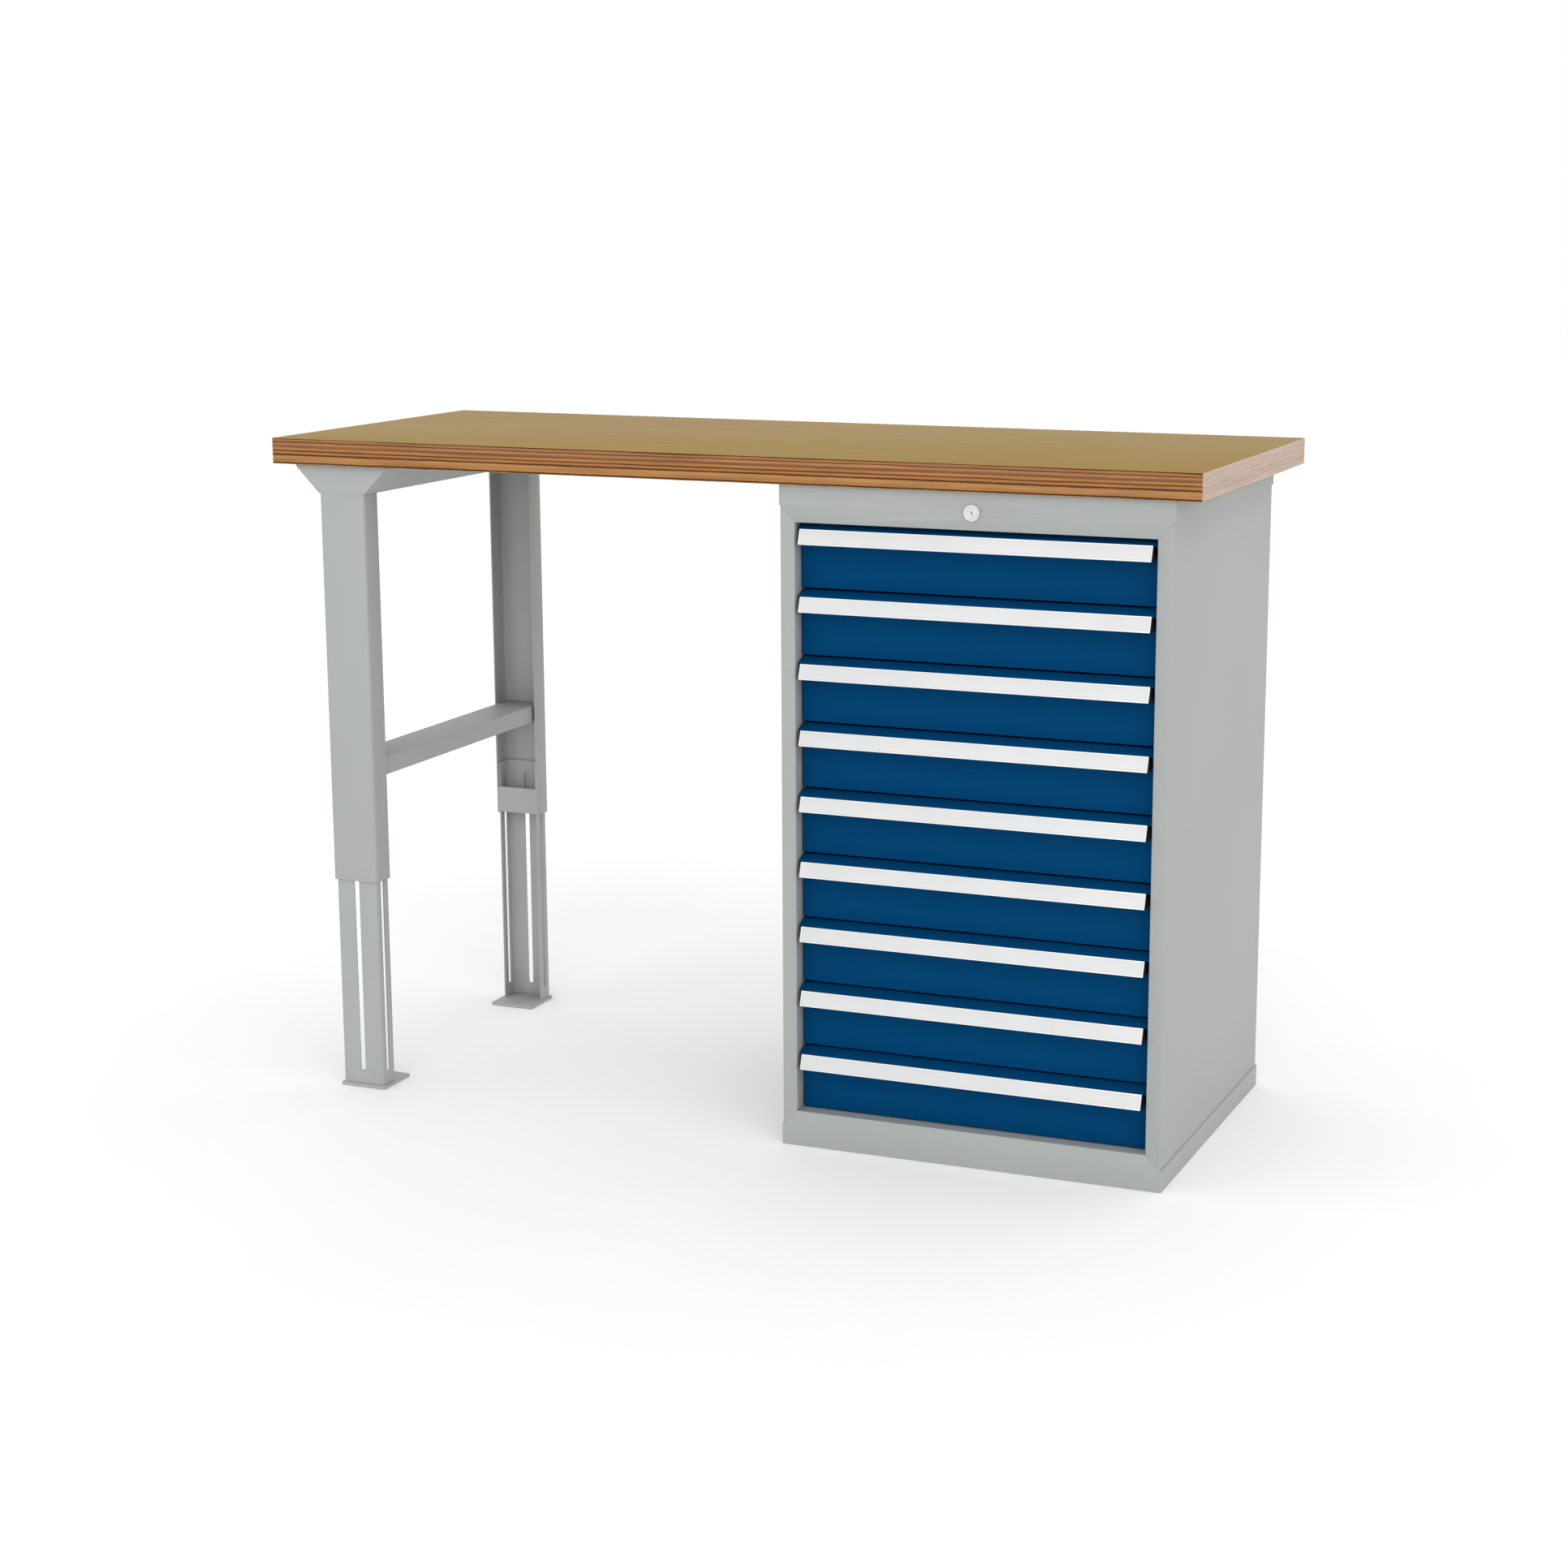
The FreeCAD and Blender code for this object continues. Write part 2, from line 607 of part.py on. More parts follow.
def drawer_front(number):
    """Folded front: top return, sloping lip, face and bottom return, with side returns."""
    bottom = drawer_floor(number) + DRAWER_GAP / 2
    top = drawer_floor(number) + DRAWER_PITCH - DRAWER_GAP / 2
    inside = FRONT_FACE + FRONT_RETURN
    bend = FRONT_SHEET / 2
    pan_path = [(inside, top), (FRONT_FACE, top), (FRONT_FACE, bottom), (inside, bottom)]
    pan = folded(pan_path, FRONT_SHEET, bend, "X", FRONT_LEFT, FRONT_RIGHT)
    lip_points = [
        (FRONT_FACE + bend, top),
        (FRONT_FACE, top),
        (FRONT_FACE - LIP_REACH, top - LIP_FALL),
        (FRONT_FACE + bend, top - LIP_FALL - LIP_UNDERCUT),
    ]
    lip = prism(lip_points, "X", FRONT_LEFT, FRONT_RIGHT, [0, 0, FRONT_SHEET, 0])
    left_return = block(
        FRONT_LEFT, FRONT_LEFT + FRONT_SHEET, FRONT_FACE + bend, inside, bottom + bend, top - bend
    )
    returns = [left_return, mirrored_in_case(left_return)]
    return joined([pan, lip] + returns).cut(lock_catch(number))


def lock_catch(number):
    """L-shaped notch in the right return: open to the back below, closed above."""
    bottom = tab_height(number) - LOCK_TAB_CLEARANCE
    front = LOCK_BAR_FRONT - LOCK_TAB_CLEARANCE
    back = LOCK_BAR_FRONT + LOCK_TAB_DEPTH + LOCK_TAB_CLEARANCE
    left, right = FRONT_RIGHT - FRONT_SHEET - 1, FRONT_RIGHT + 1
    open_top = bottom + LOCK_TAB_HEIGHT + 2 * LOCK_TAB_CLEARANCE
    way_out = block(left, right, front, FRONT_FACE + FRONT_RETURN + 1, bottom, open_top)
    hook = block(left, right, front, back, bottom, open_top + LOCK_TRAVEL)
    return way_out.fuse(hook)


def grip_points(number):
    """Top and bottom of the grip's outer face, in (y, z)."""
    top = drawer_floor(number) + DRAWER_PITCH - GRIP_TOP_DROP
    return (FRONT_FACE - GRIP_TOP_REACH, top), (FRONT_FACE - GRIP_BOTTOM_REACH, top - GRIP_HEIGHT)


def drawer_handle(number):
    """Aluminium grip strip, its label strip and its two end caps, as separate solids."""
    upper, lower = grip_points(number)
    cap_left = FRONT_LEFT + GRIP_INSET
    left = cap_left + CAP_THICKNESS
    right = FRONT_RIGHT - GRIP_INSET - CAP_THICKNESS
    lip_foot = drawer_floor(number) + DRAWER_PITCH - DRAWER_GAP / 2 - LIP_FALL - LIP_UNDERCUT
    seat = FRONT_FACE - CASE_FIT
    path = [lower, upper, (seat, lip_foot - GRIP_SHEET), (seat, lip_foot - GRIP_SHEET - GRIP_LEG)]
    grip = folded(path[::-1], GRIP_SHEET, GRIP_BEND, "X", left, right)

    run = Vector(lower[0] - upper[0], lower[1] - upper[1], 0).normalize()
    out = Vector(run.y, -run.x, 0)
    if out.x > 0:
        out = out * -1
    length = math.hypot(lower[0] - upper[0], lower[1] - upper[1])

    def on_face(along, proud):
        place = Vector(upper[0], upper[1], 0) + run * along + out * proud
        return (place.x, place.y)

    def strip(start, end, sunk, proud):
        points = [on_face(start, sunk), on_face(end, sunk), on_face(end, proud), on_face(start, proud)]
        return prism(points, "X", left, right)

    upper_rim = strip(0, GRIP_RIM, -GRIP_SHEET, GRIP_RIM_HEIGHT)
    lower_rim = strip(length - GRIP_RIM, length, -GRIP_SHEET, GRIP_RIM_HEIGHT)
    label = strip(GRIP_RIM, length - GRIP_RIM, 0, LABEL_THICKNESS)
    grip = joined([grip, upper_rim, lower_rim])

    cap_points = [
        (FRONT_FACE, lip_foot - CASE_FIT),
        on_face(0, -GRIP_SHEET),
        on_face(-CAP_MARGIN, GRIP_RIM_HEIGHT),
        on_face(length + CAP_MARGIN, GRIP_RIM_HEIGHT),
        (FRONT_FACE - GRIP_BOTTOM_REACH + GRIP_SHEET, lower[1] - CAP_MARGIN),
        (FRONT_FACE, lower[1] + CAP_MARGIN),
    ]
    cap = prism(cap_points, "X", cap_left, left)
    return Part.makeCompound([grip, label, cap, mirrored_in_case(cap)])


# ---------------------------------------------------------------- lock
def lock_housing():
    """Round escutcheon and barrel, bored for the plug."""
    ring = rod(
        "Y", CASE_CENTRE, CASE_FRONT - LOCK_RING_HEIGHT, LOCK_HEIGHT, LOCK_RING_RADIUS, LOCK_RING_HEIGHT
    )
    ring = ring.makeChamfer(LOCK_RING_HEIGHT / 3, [ring.Edges[2]])
    barrel = rod("Y", CASE_CENTRE, CASE_FRONT, LOCK_HEIGHT, LOCK_BARREL_RADIUS, BARREL_END - CASE_FRONT)
    bore_start = CASE_FRONT - LOCK_RING_HEIGHT - 1
    bore_radius = LOCK_PLUG_RADIUS + LOCK_RUNNING_FIT
    bore = rod("Y", CASE_CENTRE, bore_start, LOCK_HEIGHT, bore_radius, BARREL_END + 1 - bore_start)
    return ring.fuse(barrel).cut(bore)


def lock_cylinder():
    """The plug, with its keyhole turned a little off upright."""
    front = CASE_FRONT - LOCK_RING_HEIGHT + LOCK_GAP
    plug = rod("Y", CASE_CENTRE, front, LOCK_HEIGHT, LOCK_PLUG_RADIUS, PLUG_END - front)
    keyhole = block(
        CASE_CENTRE - KEYHOLE_WIDTH / 2,
        CASE_CENTRE + KEYHOLE_WIDTH / 2,
        front - 1,
        front + KEYHOLE_DEPTH,
        LOCK_HEIGHT - KEYHOLE_HEIGHT / 2,
        LOCK_HEIGHT + KEYHOLE_HEIGHT / 2,
    )
    keyhole.rotate(Vector(CASE_CENTRE, front, LOCK_HEIGHT), Vector(0, 1, 0), -KEYHOLE_ANGLE)
    return plug.cut(keyhole)


def lock_cam():
    """Lever on the end of the plug, with a pin. It points to the left when unlocked."""
    half = CAM_WIDTH / 2
    pin_x = CASE_CENTRE - CAM_THROW
    points = [
        (CASE_CENTRE + half, LOCK_HEIGHT - half),
        (CASE_CENTRE + half, LOCK_HEIGHT + half),
        (pin_x - half, LOCK_HEIGHT + half),
        (pin_x - half, LOCK_HEIGHT - half),
    ]
    lever = prism(points, "Y", PLUG_END, CAM_END, [half * ROUND_END] * 4)
    pin_length = CAM_SHEET + LOCK_GAP + LOCK_BAR_SHEET
    return lever.fuse(rod("Y", pin_x, PLUG_END, LOCK_HEIGHT, CAM_PIN_RADIUS, pin_length))


def lock_bar():
    """Arm behind the head and rod down the right stile, with one tab for each drawer."""
    back = LOCK_BAR_FRONT + LOCK_BAR_SHEET
    arm_left = CASE_CENTRE - CAM_THROW - CAM_WIDTH
    arm = block(
        arm_left,
        LOCK_ROD_X + LOCK_BAR_SHEET / 2,
        LOCK_BAR_FRONT,
        back,
        LOCK_ARM_BOTTOM,
        LOCK_ARM_BOTTOM + LOCK_ARM_HEIGHT,
    )
    ear_right = CASE_CENTRE + CAM_WIDTH
    ear_top = LOCK_HEIGHT + LOCK_EAR_HEIGHT
    ear = block(arm_left, ear_right, LOCK_BAR_FRONT, back, LOCK_ARM_BOTTOM, ear_top)
    pin_reach = CAM_PIN_RADIUS + CAM_PIN_FIT
    pin_slot = block(
        CASE_CENTRE - CAM_THROW - pin_reach,
        CASE_CENTRE + pin_reach,
        LOCK_BAR_FRONT - 1,
        back + 1,
        LOCK_HEIGHT - pin_reach,
        LOCK_HEIGHT + pin_reach + CAM_PIN_RISE,
    )
    upright = block(
        LOCK_ROD_X - LOCK_BAR_SHEET / 2,
        LOCK_ROD_X + LOCK_BAR_SHEET / 2,
        LOCK_BAR_FRONT,
        LOCK_BAR_FRONT + LOCK_ROD_WIDTH,
        tab_height(DRAWER_COUNT),
        LOCK_ARM_BOTTOM + LOCK_ARM_HEIGHT,
    )
    tabs = [
        block(
            LOCK_TAB_END,
            LOCK_ROD_X,
            LOCK_BAR_FRONT,
            LOCK_BAR_FRONT + LOCK_TAB_DEPTH,
            tab_height(number),
            tab_height(number) + LOCK_TAB_HEIGHT,
        )
        for number in DRAWERS
    ]
    return joined([arm, ear, upright] + tabs).cut(pin_slot)


# ---------------------------------------------------------------- leg frame
def top_beam():
    """Trapezoid folding under the worktop, with access holes under its screws."""
    wide, narrow = BEAM_TOP_WIDTH / 2, LEG_WIDTH / 2
    path = [
        (LEG_X - BEAM_FLANGE_EDGE, TOP_UNDERSIDE),
        (LEG_X - wide, TOP_UNDERSIDE),
        (LEG_X - narrow, BEAM_BOTTOM),
        (LEG_X + narrow, BEAM_BOTTOM),
        (LEG_X + wide, TOP_UNDERSIDE),
        (LEG_X + BEAM_FLANGE_EDGE, TOP_UNDERSIDE),
    ]
    beam = folded(path, BEAM_SHEET, BEAM_BEND, "Y", LEG_FRONT + BEAM_SHEET, -LEG_FRONT - BEAM_SHEET)
    places = beam_screw_places()
    holes = screw_holes(places, TOP_UNDERSIDE - BEAM_SHEET - 1, TOP_UNDERSIDE + 1, SCREW_RADIUS + SCREW_FIT)
    holes += screw_holes(places, BEAM_BOTTOM - 1, BEAM_BOTTOM + BEAM_SHEET + 1, ACCESS_RADIUS)
    return beam.cut(holes)


def beam_end_plates():
    """Plates that close the beam at the front and the back."""
    wide, narrow = BEAM_TOP_WIDTH / 2, LEG_WIDTH / 2
    points = [
        (LEG_X - wide, TOP_UNDERSIDE),
        (LEG_X - narrow, BEAM_BOTTOM),
        (LEG_X + narrow, BEAM_BOTTOM),
        (LEG_X + wide, TOP_UNDERSIDE),
    ]
    corner = BEAM_BEND + BEAM_SHEET
    plate = prism(points, "Y", LEG_FRONT, LEG_FRONT + BEAM_SHEET, [corner] * 4)
    return Part.makeCompound([plate, mirrored_front_to_back(plate)])


def leg_profile(half_width, front, depth, bottom, top):
    """An upright U profile, open to the back."""
    path = [
        (LEG_X - half_width, front + depth),
        (LEG_X - half_width, front),
        (LEG_X + half_width, front),
        (LEG_X + half_width, front + depth),
    ]
    return folded(path, LEG_SHEET, LEG_BEND, "Z", bottom, top)


def front_leg_outer():
    """Outer profile of the front leg, with the clamp bolts' holes in its left flange."""
    leg = leg_profile(LEG_WIDTH / 2, LEG_FRONT, LEG_DEPTH, OUTER_LEG_BOTTOM, BEAM_BOTTOM)
    holes = [
        rod("X", LEG_X - LEG_WIDTH / 2 - 1, LEG_FRONT + LEG_DEPTH / 2, z, BOLT_HOLE_RADIUS, LEG_SHEET + 2)
        for z in bolt_heights()
    ]
    return leg.cut(holes)


def front_leg_inner():
    """Inner profile of the front leg, with a long slot in its web and in each flange."""
    half = LEG_WIDTH / 2 - INNER_LEG_INSET
    front = LEG_FRONT + INNER_LEG_INSET
    leg = leg_profile(half, front, INNER_LEG_DEPTH, FOOT_THICKNESS, INNER_LEG_TOP)
    web_slot = slot_cutter("Y", LEG_X, SLOT_BOTTOM, SLOT_TOP, front - 1, front + LEG_SHEET + 1)
    flange_slot = slot_cutter(
        "X", LEG_FRONT + LEG_DEPTH / 2, SLOT_BOTTOM, SLOT_TOP, LEG_X - half - 1, LEG_X + half + 1
    )
    return leg.cut([web_slot, flange_slot])


def front_foot_plate():
    """Square plate under the front leg, reaching in towards the back."""
    half = FOOT_SIZE / 2
    points = [
        (LEG_X - half, LEG_FRONT),
        (LEG_X + half, LEG_FRONT),
        (LEG_X + half, LEG_FRONT + FOOT_SIZE),
        (LEG_X - half, LEG_FRONT + FOOT_SIZE),
    ]
    return prism(points, "Z", 0, FOOT_THICKNESS, [FOOT_CORNER] * 4)


def leg_straps():
    """Straps that close the open side of each outer leg at its bottom end."""
    half = LEG_WIDTH / 2 - LEG_SHEET
    strap = block(
        LEG_X - half,
        LEG_X + half,
        LEG_FRONT + LEG_DEPTH - LEG_SHEET,
        LEG_FRONT + LEG_DEPTH,
        OUTER_LEG_BOTTOM + STRAP_RISE,
        OUTER_LEG_BOTTOM + STRAP_RISE + STRAP_HEIGHT,
    )
    return Part.makeCompound([strap, mirrored_front_to_back(strap)])


def leg_crossbar():
    """Rectangular tube between the webs of the two outer legs."""
    half = LEG_WIDTH / 2 - LEG_SHEET - LEG_BEND
    reach = -LEG_FRONT - LEG_SHEET
    top = CROSSBAR_BOTTOM + CROSSBAR_HEIGHT
    inner = half - CROSSBAR_SHEET
    points = [
        (LEG_X - half, CROSSBAR_BOTTOM),
        (LEG_X + half, CROSSBAR_BOTTOM),
        (LEG_X + half, top),
        (LEG_X - half, top),
    ]
    tube = prism(points, "Y", -reach, reach, [CROSSBAR_SHEET] * 4)
    hollow = block(
        LEG_X - inner,
        LEG_X + inner,
        -reach - 1,
        reach + 1,
        CROSSBAR_BOTTOM + CROSSBAR_SHEET,
        top - CROSSBAR_SHEET,
    )
    return tube.cut(hollow)


def leg_clamp_bolts():
    """Hexagon bolts through the outer legs' left flanges and the inner legs' slots, with their nuts."""
    seat = LEG_X - LEG_WIDTH / 2
    nut_face = seat + INNER_LEG_INSET + LEG_SHEET + LEG_FIT / 2
    length = nut_face + BOLT_PROJECTION - seat
    y = LEG_FRONT + LEG_DEPTH / 2
    bolts = []
    for z in bolt_heights():
        head = hexagon("X", seat - BOLT_HEAD_HEIGHT, y, z, BOLT_HEAD_FLATS, BOLT_HEAD_HEIGHT)
        bolts.append(head.fuse(rod("X", seat, y, z, BOLT_RADIUS, length)))
        nut = hexagon("X", nut_face, y, z, BOLT_HEAD_FLATS, NUT_HEIGHT)
        bolts.append(nut.cut(rod("X", nut_face - 1, y, z, BOLT_RADIUS, NUT_HEIGHT + 2)))
    return Part.makeCompound(bolts + [mirrored_front_to_back(piece) for piece in bolts])


# ---------------------------------------------------------------- all nodes
def nodes():
    """Every node's name and shape."""
    shapes = {
        "worktop": worktop(),
        "worktop_screws": worktop_screws(),
        "cabinet_base": cabinet_base(),
        "cabinet_cap": cabinet_cap(),
        "cabinet_left_side": cabinet_left_side(),
        "cabinet_right_side": cabinet_right_side(),
        "cabinet_back_panel": cabinet_back_panel(),
        "runner_posts": runner_posts(),
        "cabinet_runners": cabinet_runners(),
        "lock_housing": lock_housing(),
        "lock_cylinder": lock_cylinder(),
        "lock_cam": lock_cam(),
        "lock_bar": lock_bar(),
        "top_beam": top_beam(),
        "beam_end_plates": beam_end_plates(),
        "front_leg_outer": front_leg_outer(),
        "back_leg_outer": mirrored_front_to_back(front_leg_outer()),
        "front_leg_inner": front_leg_inner(),
        "back_leg_inner": mirrored_front_to_back(front_leg_inner()),
        "front_foot_plate": front_foot_plate(),
        "back_foot_plate": mirrored_front_to_back(front_foot_plate()),
        "leg_straps": leg_straps(),
        "leg_crossbar": leg_crossbar(),
        "leg_clamp_bolts": leg_clamp_bolts(),
    }
    for number in DRAWERS:
        shapes[f"drawer_{number}_tray"] = drawer_tray(number)
        shapes[f"drawer_{number}_front"] = drawer_front(number)
        shapes[f"drawer_{number}_handle"] = drawer_handle(number)
        shapes[f"drawer_{number}_slides"] = drawer_slides(number)
    return shapes


def main():
    """Writes one STEP file for each node."""
    os.makedirs("parts", exist_ok=True)
    for name, shape in nodes().items():
        solids = shape.Solids
        valid = shape.isValid() and all(solid.Volume > 0 for solid in solids)
        print(f"{name}: {len(solids)} solids, {sum(s.Volume for s in solids):.0f} mm3, valid {valid}")
        shape.exportStep(f"parts/{name}.step")


main()
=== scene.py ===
"""Workbench with a drawer cabinet and a telescopic leg frame: its looks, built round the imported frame.

Laid out as an add-on and run as a script.
Metres; X along the bench, Y to the back, Z up from the floor.
"""

import math

import bmesh
import bpy
from bpy.props import FloatProperty, FloatVectorProperty, IntProperty, PointerProperty
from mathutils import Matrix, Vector


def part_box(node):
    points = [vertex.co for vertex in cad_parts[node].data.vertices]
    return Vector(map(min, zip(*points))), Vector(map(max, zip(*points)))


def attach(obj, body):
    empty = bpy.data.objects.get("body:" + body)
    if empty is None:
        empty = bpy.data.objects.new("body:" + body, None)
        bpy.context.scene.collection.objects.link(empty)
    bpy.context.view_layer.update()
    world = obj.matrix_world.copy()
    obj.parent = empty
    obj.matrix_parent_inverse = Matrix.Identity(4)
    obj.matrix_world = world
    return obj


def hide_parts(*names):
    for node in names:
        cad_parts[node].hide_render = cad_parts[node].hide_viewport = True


bl_info = {
    "name": "Workbench with Drawer Cabinet",
    "version": (1, 0, 0),
    "blender": (4, 5, 0),
    "location": "View3D > Sidebar > Workbench",
    "description": "Models a workbench with a multiplex top, a drawer cabinet and a telescopic leg",
    "category": "Add Mesh",
}

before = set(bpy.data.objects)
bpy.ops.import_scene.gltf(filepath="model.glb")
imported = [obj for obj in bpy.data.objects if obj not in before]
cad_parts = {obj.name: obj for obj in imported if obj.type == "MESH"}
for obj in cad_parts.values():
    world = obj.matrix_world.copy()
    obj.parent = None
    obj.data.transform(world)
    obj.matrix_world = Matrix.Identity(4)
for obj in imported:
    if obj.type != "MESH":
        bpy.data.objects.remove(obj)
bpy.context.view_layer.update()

TOP_LOW, TOP_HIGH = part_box("worktop")
BASE_LOW, BASE_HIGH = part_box("cabinet_base")
CAP_LOW, CAP_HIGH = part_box("cabinet_cap")
FRONT_LOW, FRONT_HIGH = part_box("drawer_1_front")
TRAY_LOW, TRAY_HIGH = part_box("drawer_1_tray")
ROSE_LOW, ROSE_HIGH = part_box("lock_housing")
PLUG_LOW, PLUG_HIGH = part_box("lock_cylinder")
OUTER_LOW, OUTER_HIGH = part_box("front_leg_outer")
INNER_LOW, INNER_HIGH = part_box("front_leg_inner")
FOOT_LOW, FOOT_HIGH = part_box("front_foot_plate")
BEAM_LOW, BEAM_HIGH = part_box("top_beam")
CROSS_LOW, CROSS_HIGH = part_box("leg_crossbar")

DRAWERS = range(1, 1 + sum(node.endswith("_tray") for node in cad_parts))
DRAWER_PITCH = FRONT_LOW.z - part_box("drawer_2_front")[0].z
# Half the gap between two drawer fronts: a front ends this far inside its place.
HALF_GAP = (DRAWER_PITCH - (FRONT_HIGH.z - FRONT_LOW.z)) / 2
CASE_CENTRE = (BASE_LOW.x + BASE_HIGH.x) / 2
LEG_CENTRE = (OUTER_LOW.x + OUTER_HIGH.x) / 2


def length_size(name, description, default):
    """A length that the user can change."""
    return FloatProperty(name=name, description=description, default=default, min=0, unit="LENGTH")


def amount(name, description, default):
    """A plain number that the user can change."""
    return FloatProperty(name=name, description=description, default=default, min=0)


def angle(name, description, degrees):
    """An angle that the user can change."""
    return FloatProperty(
        name=name, description=description, default=math.radians(degrees), subtype="ANGLE"
    )


def paint_colour(name, description, default):
    """A colour that the user can change."""
    return FloatVectorProperty(
        name=name, description=description, default=default, size=3, subtype="COLOR", min=0, max=1
    )


# ---------------------------------------------------------------- settings
class BenchColours(bpy.types.PropertyGroup):
    """Colours of the finishes."""

    grey: paint_colour("Grey Paint", "Powder coat of the case and the legs", (0.357, 0.375, 0.370))
    blue: paint_colour("Blue Paint", "Powder coat of the drawer fronts", (0.0002, 0.0500, 0.1480))
    beech: paint_colour("Beech Face", "Oiled face veneer of the worktop", (0.335, 0.222, 0.056))
    label: paint_colour("Label Strip", "Strip set in the grips", (0.660, 0.660, 0.665))
    plastic: paint_colour("Black Plastic", "End caps of the grips", (0.006, 0.006, 0.007))
    zinc: paint_colour("Zinc", "Plated runners, rods and fasteners", (0.560, 0.565, 0.560))
    nickel: paint_colour("Nickel", "Lock rosette and plug", (0.700, 0.700, 0.690))
    aluminium: paint_colour("Aluminium", "Anodised grips", (0.880, 0.885, 0.890))


class BoardSizes(bpy.types.PropertyGroup):
    """Sizes of the worktop."""

    edge_round: length_size("Edge Round", "Width of the broken edges", 0.0009)


class CaseSizes(bpy.types.PropertyGroup):
    """Sizes of the folded sheet case."""

    band_sheet: length_size("Band Sheet", "Sheet of the base and the cap", 0.002)
    wall_sheet: length_size("Wall Sheet", "Sheet of the side walls", 0.0015)
    top_band: length_size("Top Band", "Height of the band under the worktop", 0.031)
    bottom_band: length_size("Bottom Band", "Height of the band above the floor", 0.033)
    floor_flange: length_size("Floor Flange", "Width of the flanges on the floor", 0.025)
    stile: length_size("Stile", "Width of the uprights beside the drawers", 0.025)
    stile_depth: length_size("Stile Depth", "How far the uprights reach in", 0.040)
    rear_flange: length_size("Rear Flange", "Width of the rear flanges", 0.020)
    seam: length_size("Seam", "Gap of the mitred joints", 0.0002)
    bend: length_size("Bend", "Outer radius of the folds", 0.0016)
    edge_break: length_size("Edge Break", "Softness of the sheet's edges", 0.00015)
    tab_room: length_size("Tab Room", "Room round a lock tab in its slot", 0.0015)
    tab_depth: length_size("Tab Depth", "Thickness of a lock tab, front to back", 0.004)
    tab_height: length_size("Tab Height", "Height and travel of a lock tab", 0.016)
    rose_cover: length_size("Rosette Cover", "How far the lock's rosette covers its hole", 0.0023)


class DrawerSizes(bpy.types.PropertyGroup):
    """Sizes of the drawer fronts, grips and trays."""

    sheet: length_size("Sheet", "Sheet of fronts and trays", 0.0015)
    recess: length_size("Recess", "Front face behind the case's face", 0.022)
    corner: length_size("Corner", "Radius of the front's corners", 0.0026)
    lip_reach: length_size("Lip Reach", "How far the lip stands out", 0.017)
    lip_fall: length_size("Lip Fall", "How far the lip slopes down", 0.0085)
    lip_under: length_size("Lip Under", "Height of the lip's underside at its foot", 0.007)
    grip_top: length_size("Grip Top", "Reach of the grip at its top", 0.019)
    grip_bottom: length_size("Grip Bottom", "Reach of the grip at its bottom", 0.027)
    grip_height: length_size("Grip Height", "Height of the grip", 0.022)
    grip_drop: length_size("Grip Drop", "Top of the grip below the drawer's place", 0.010)
    grip_sheet: length_size("Grip Sheet", "Thickness of the grip", 0.002)
    rim: length_size("Rim", "Width of the rims round the label strip", 0.0016)
    rim_proud: length_size("Rim Proud", "How far the rims stand out", 0.0012)
    label: length_size("Label", "Thickness of the label strip", 0.0008)
    label_gap: length_size("Label Gap", "Gap round the label strip", 0.0001)
    cap: length_size("Cap", "Thickness of the end caps", 0.0012)
    cap_margin: length_size("Cap Margin", "How far the end caps stand past the grip", 0.0012)
    inset: length_size("Grip Inset", "Grip's ends inside the front's ends", 0.004)
    lip_root: length_size("Lip Root", "How far the lip reaches into the front's sheet", 0.0008)
    nose: length_size("Nose", "Radius of the lip's nose", 0.0028)
    fold: length_size("Fold", "Radius of the front's and the grip's folds", 0.0012)
    break_edge: length_size("Broken Edge", "Softness of small edges", 0.0002)
    grip_leg: length_size("Grip Leg", "Height of the grip's leg on the front", 0.010)
    tray_fold: length_size("Tray Fold", "Radius of the tray's folds", 0.0025)
    rail_fold: length_size("Rail Fold", "Radius of the rails' folds", 0.0022)
    rail_start: length_size("Rail Start", "Rails' front ends behind the front's sheet", 0.015)
    rail_rise: length_size("Rail Rise", "Middle of the runners above the drawer's place", 0.040)
    rail_height: length_size("Rail Height", "Height of the runners", 0.034)
    rail_reach: length_size("Rail Reach", "How far the drawer's rails reach out", 0.0095)
    floor_rise: length_size("Floor Rise", "Tray floor above the drawer's place", 0.012)
    headroom: length_size("Headroom", "Rim of the tray below the drawer's place's top", 0.013)


class LockSizes(bpy.types.PropertyGroup):
    """Sizes of the lock."""

    rim: length_size("Rim", "Width of the rosette's rim", 0.0012)
    dish: length_size("Dish", "Depth of the rosette inside its rim", 0.0006)
    shoulder: length_size("Shoulder", "How far the rosette stands past the barrel", 0.0025)
    plug_room: length_size("Plug Room", "Room round the plug", 0.00005)
    keyway_width: length_size("Keyway Width", "Width of the keyhole", 0.0016)
    keyway_height: length_size("Keyway Height", "Height of the keyhole", 0.006)
    keyway_depth: length_size("Keyway Depth", "Depth of the keyhole", 0.005)
    key_turn: angle("Key Turn", "How far the keyhole leans", 35)


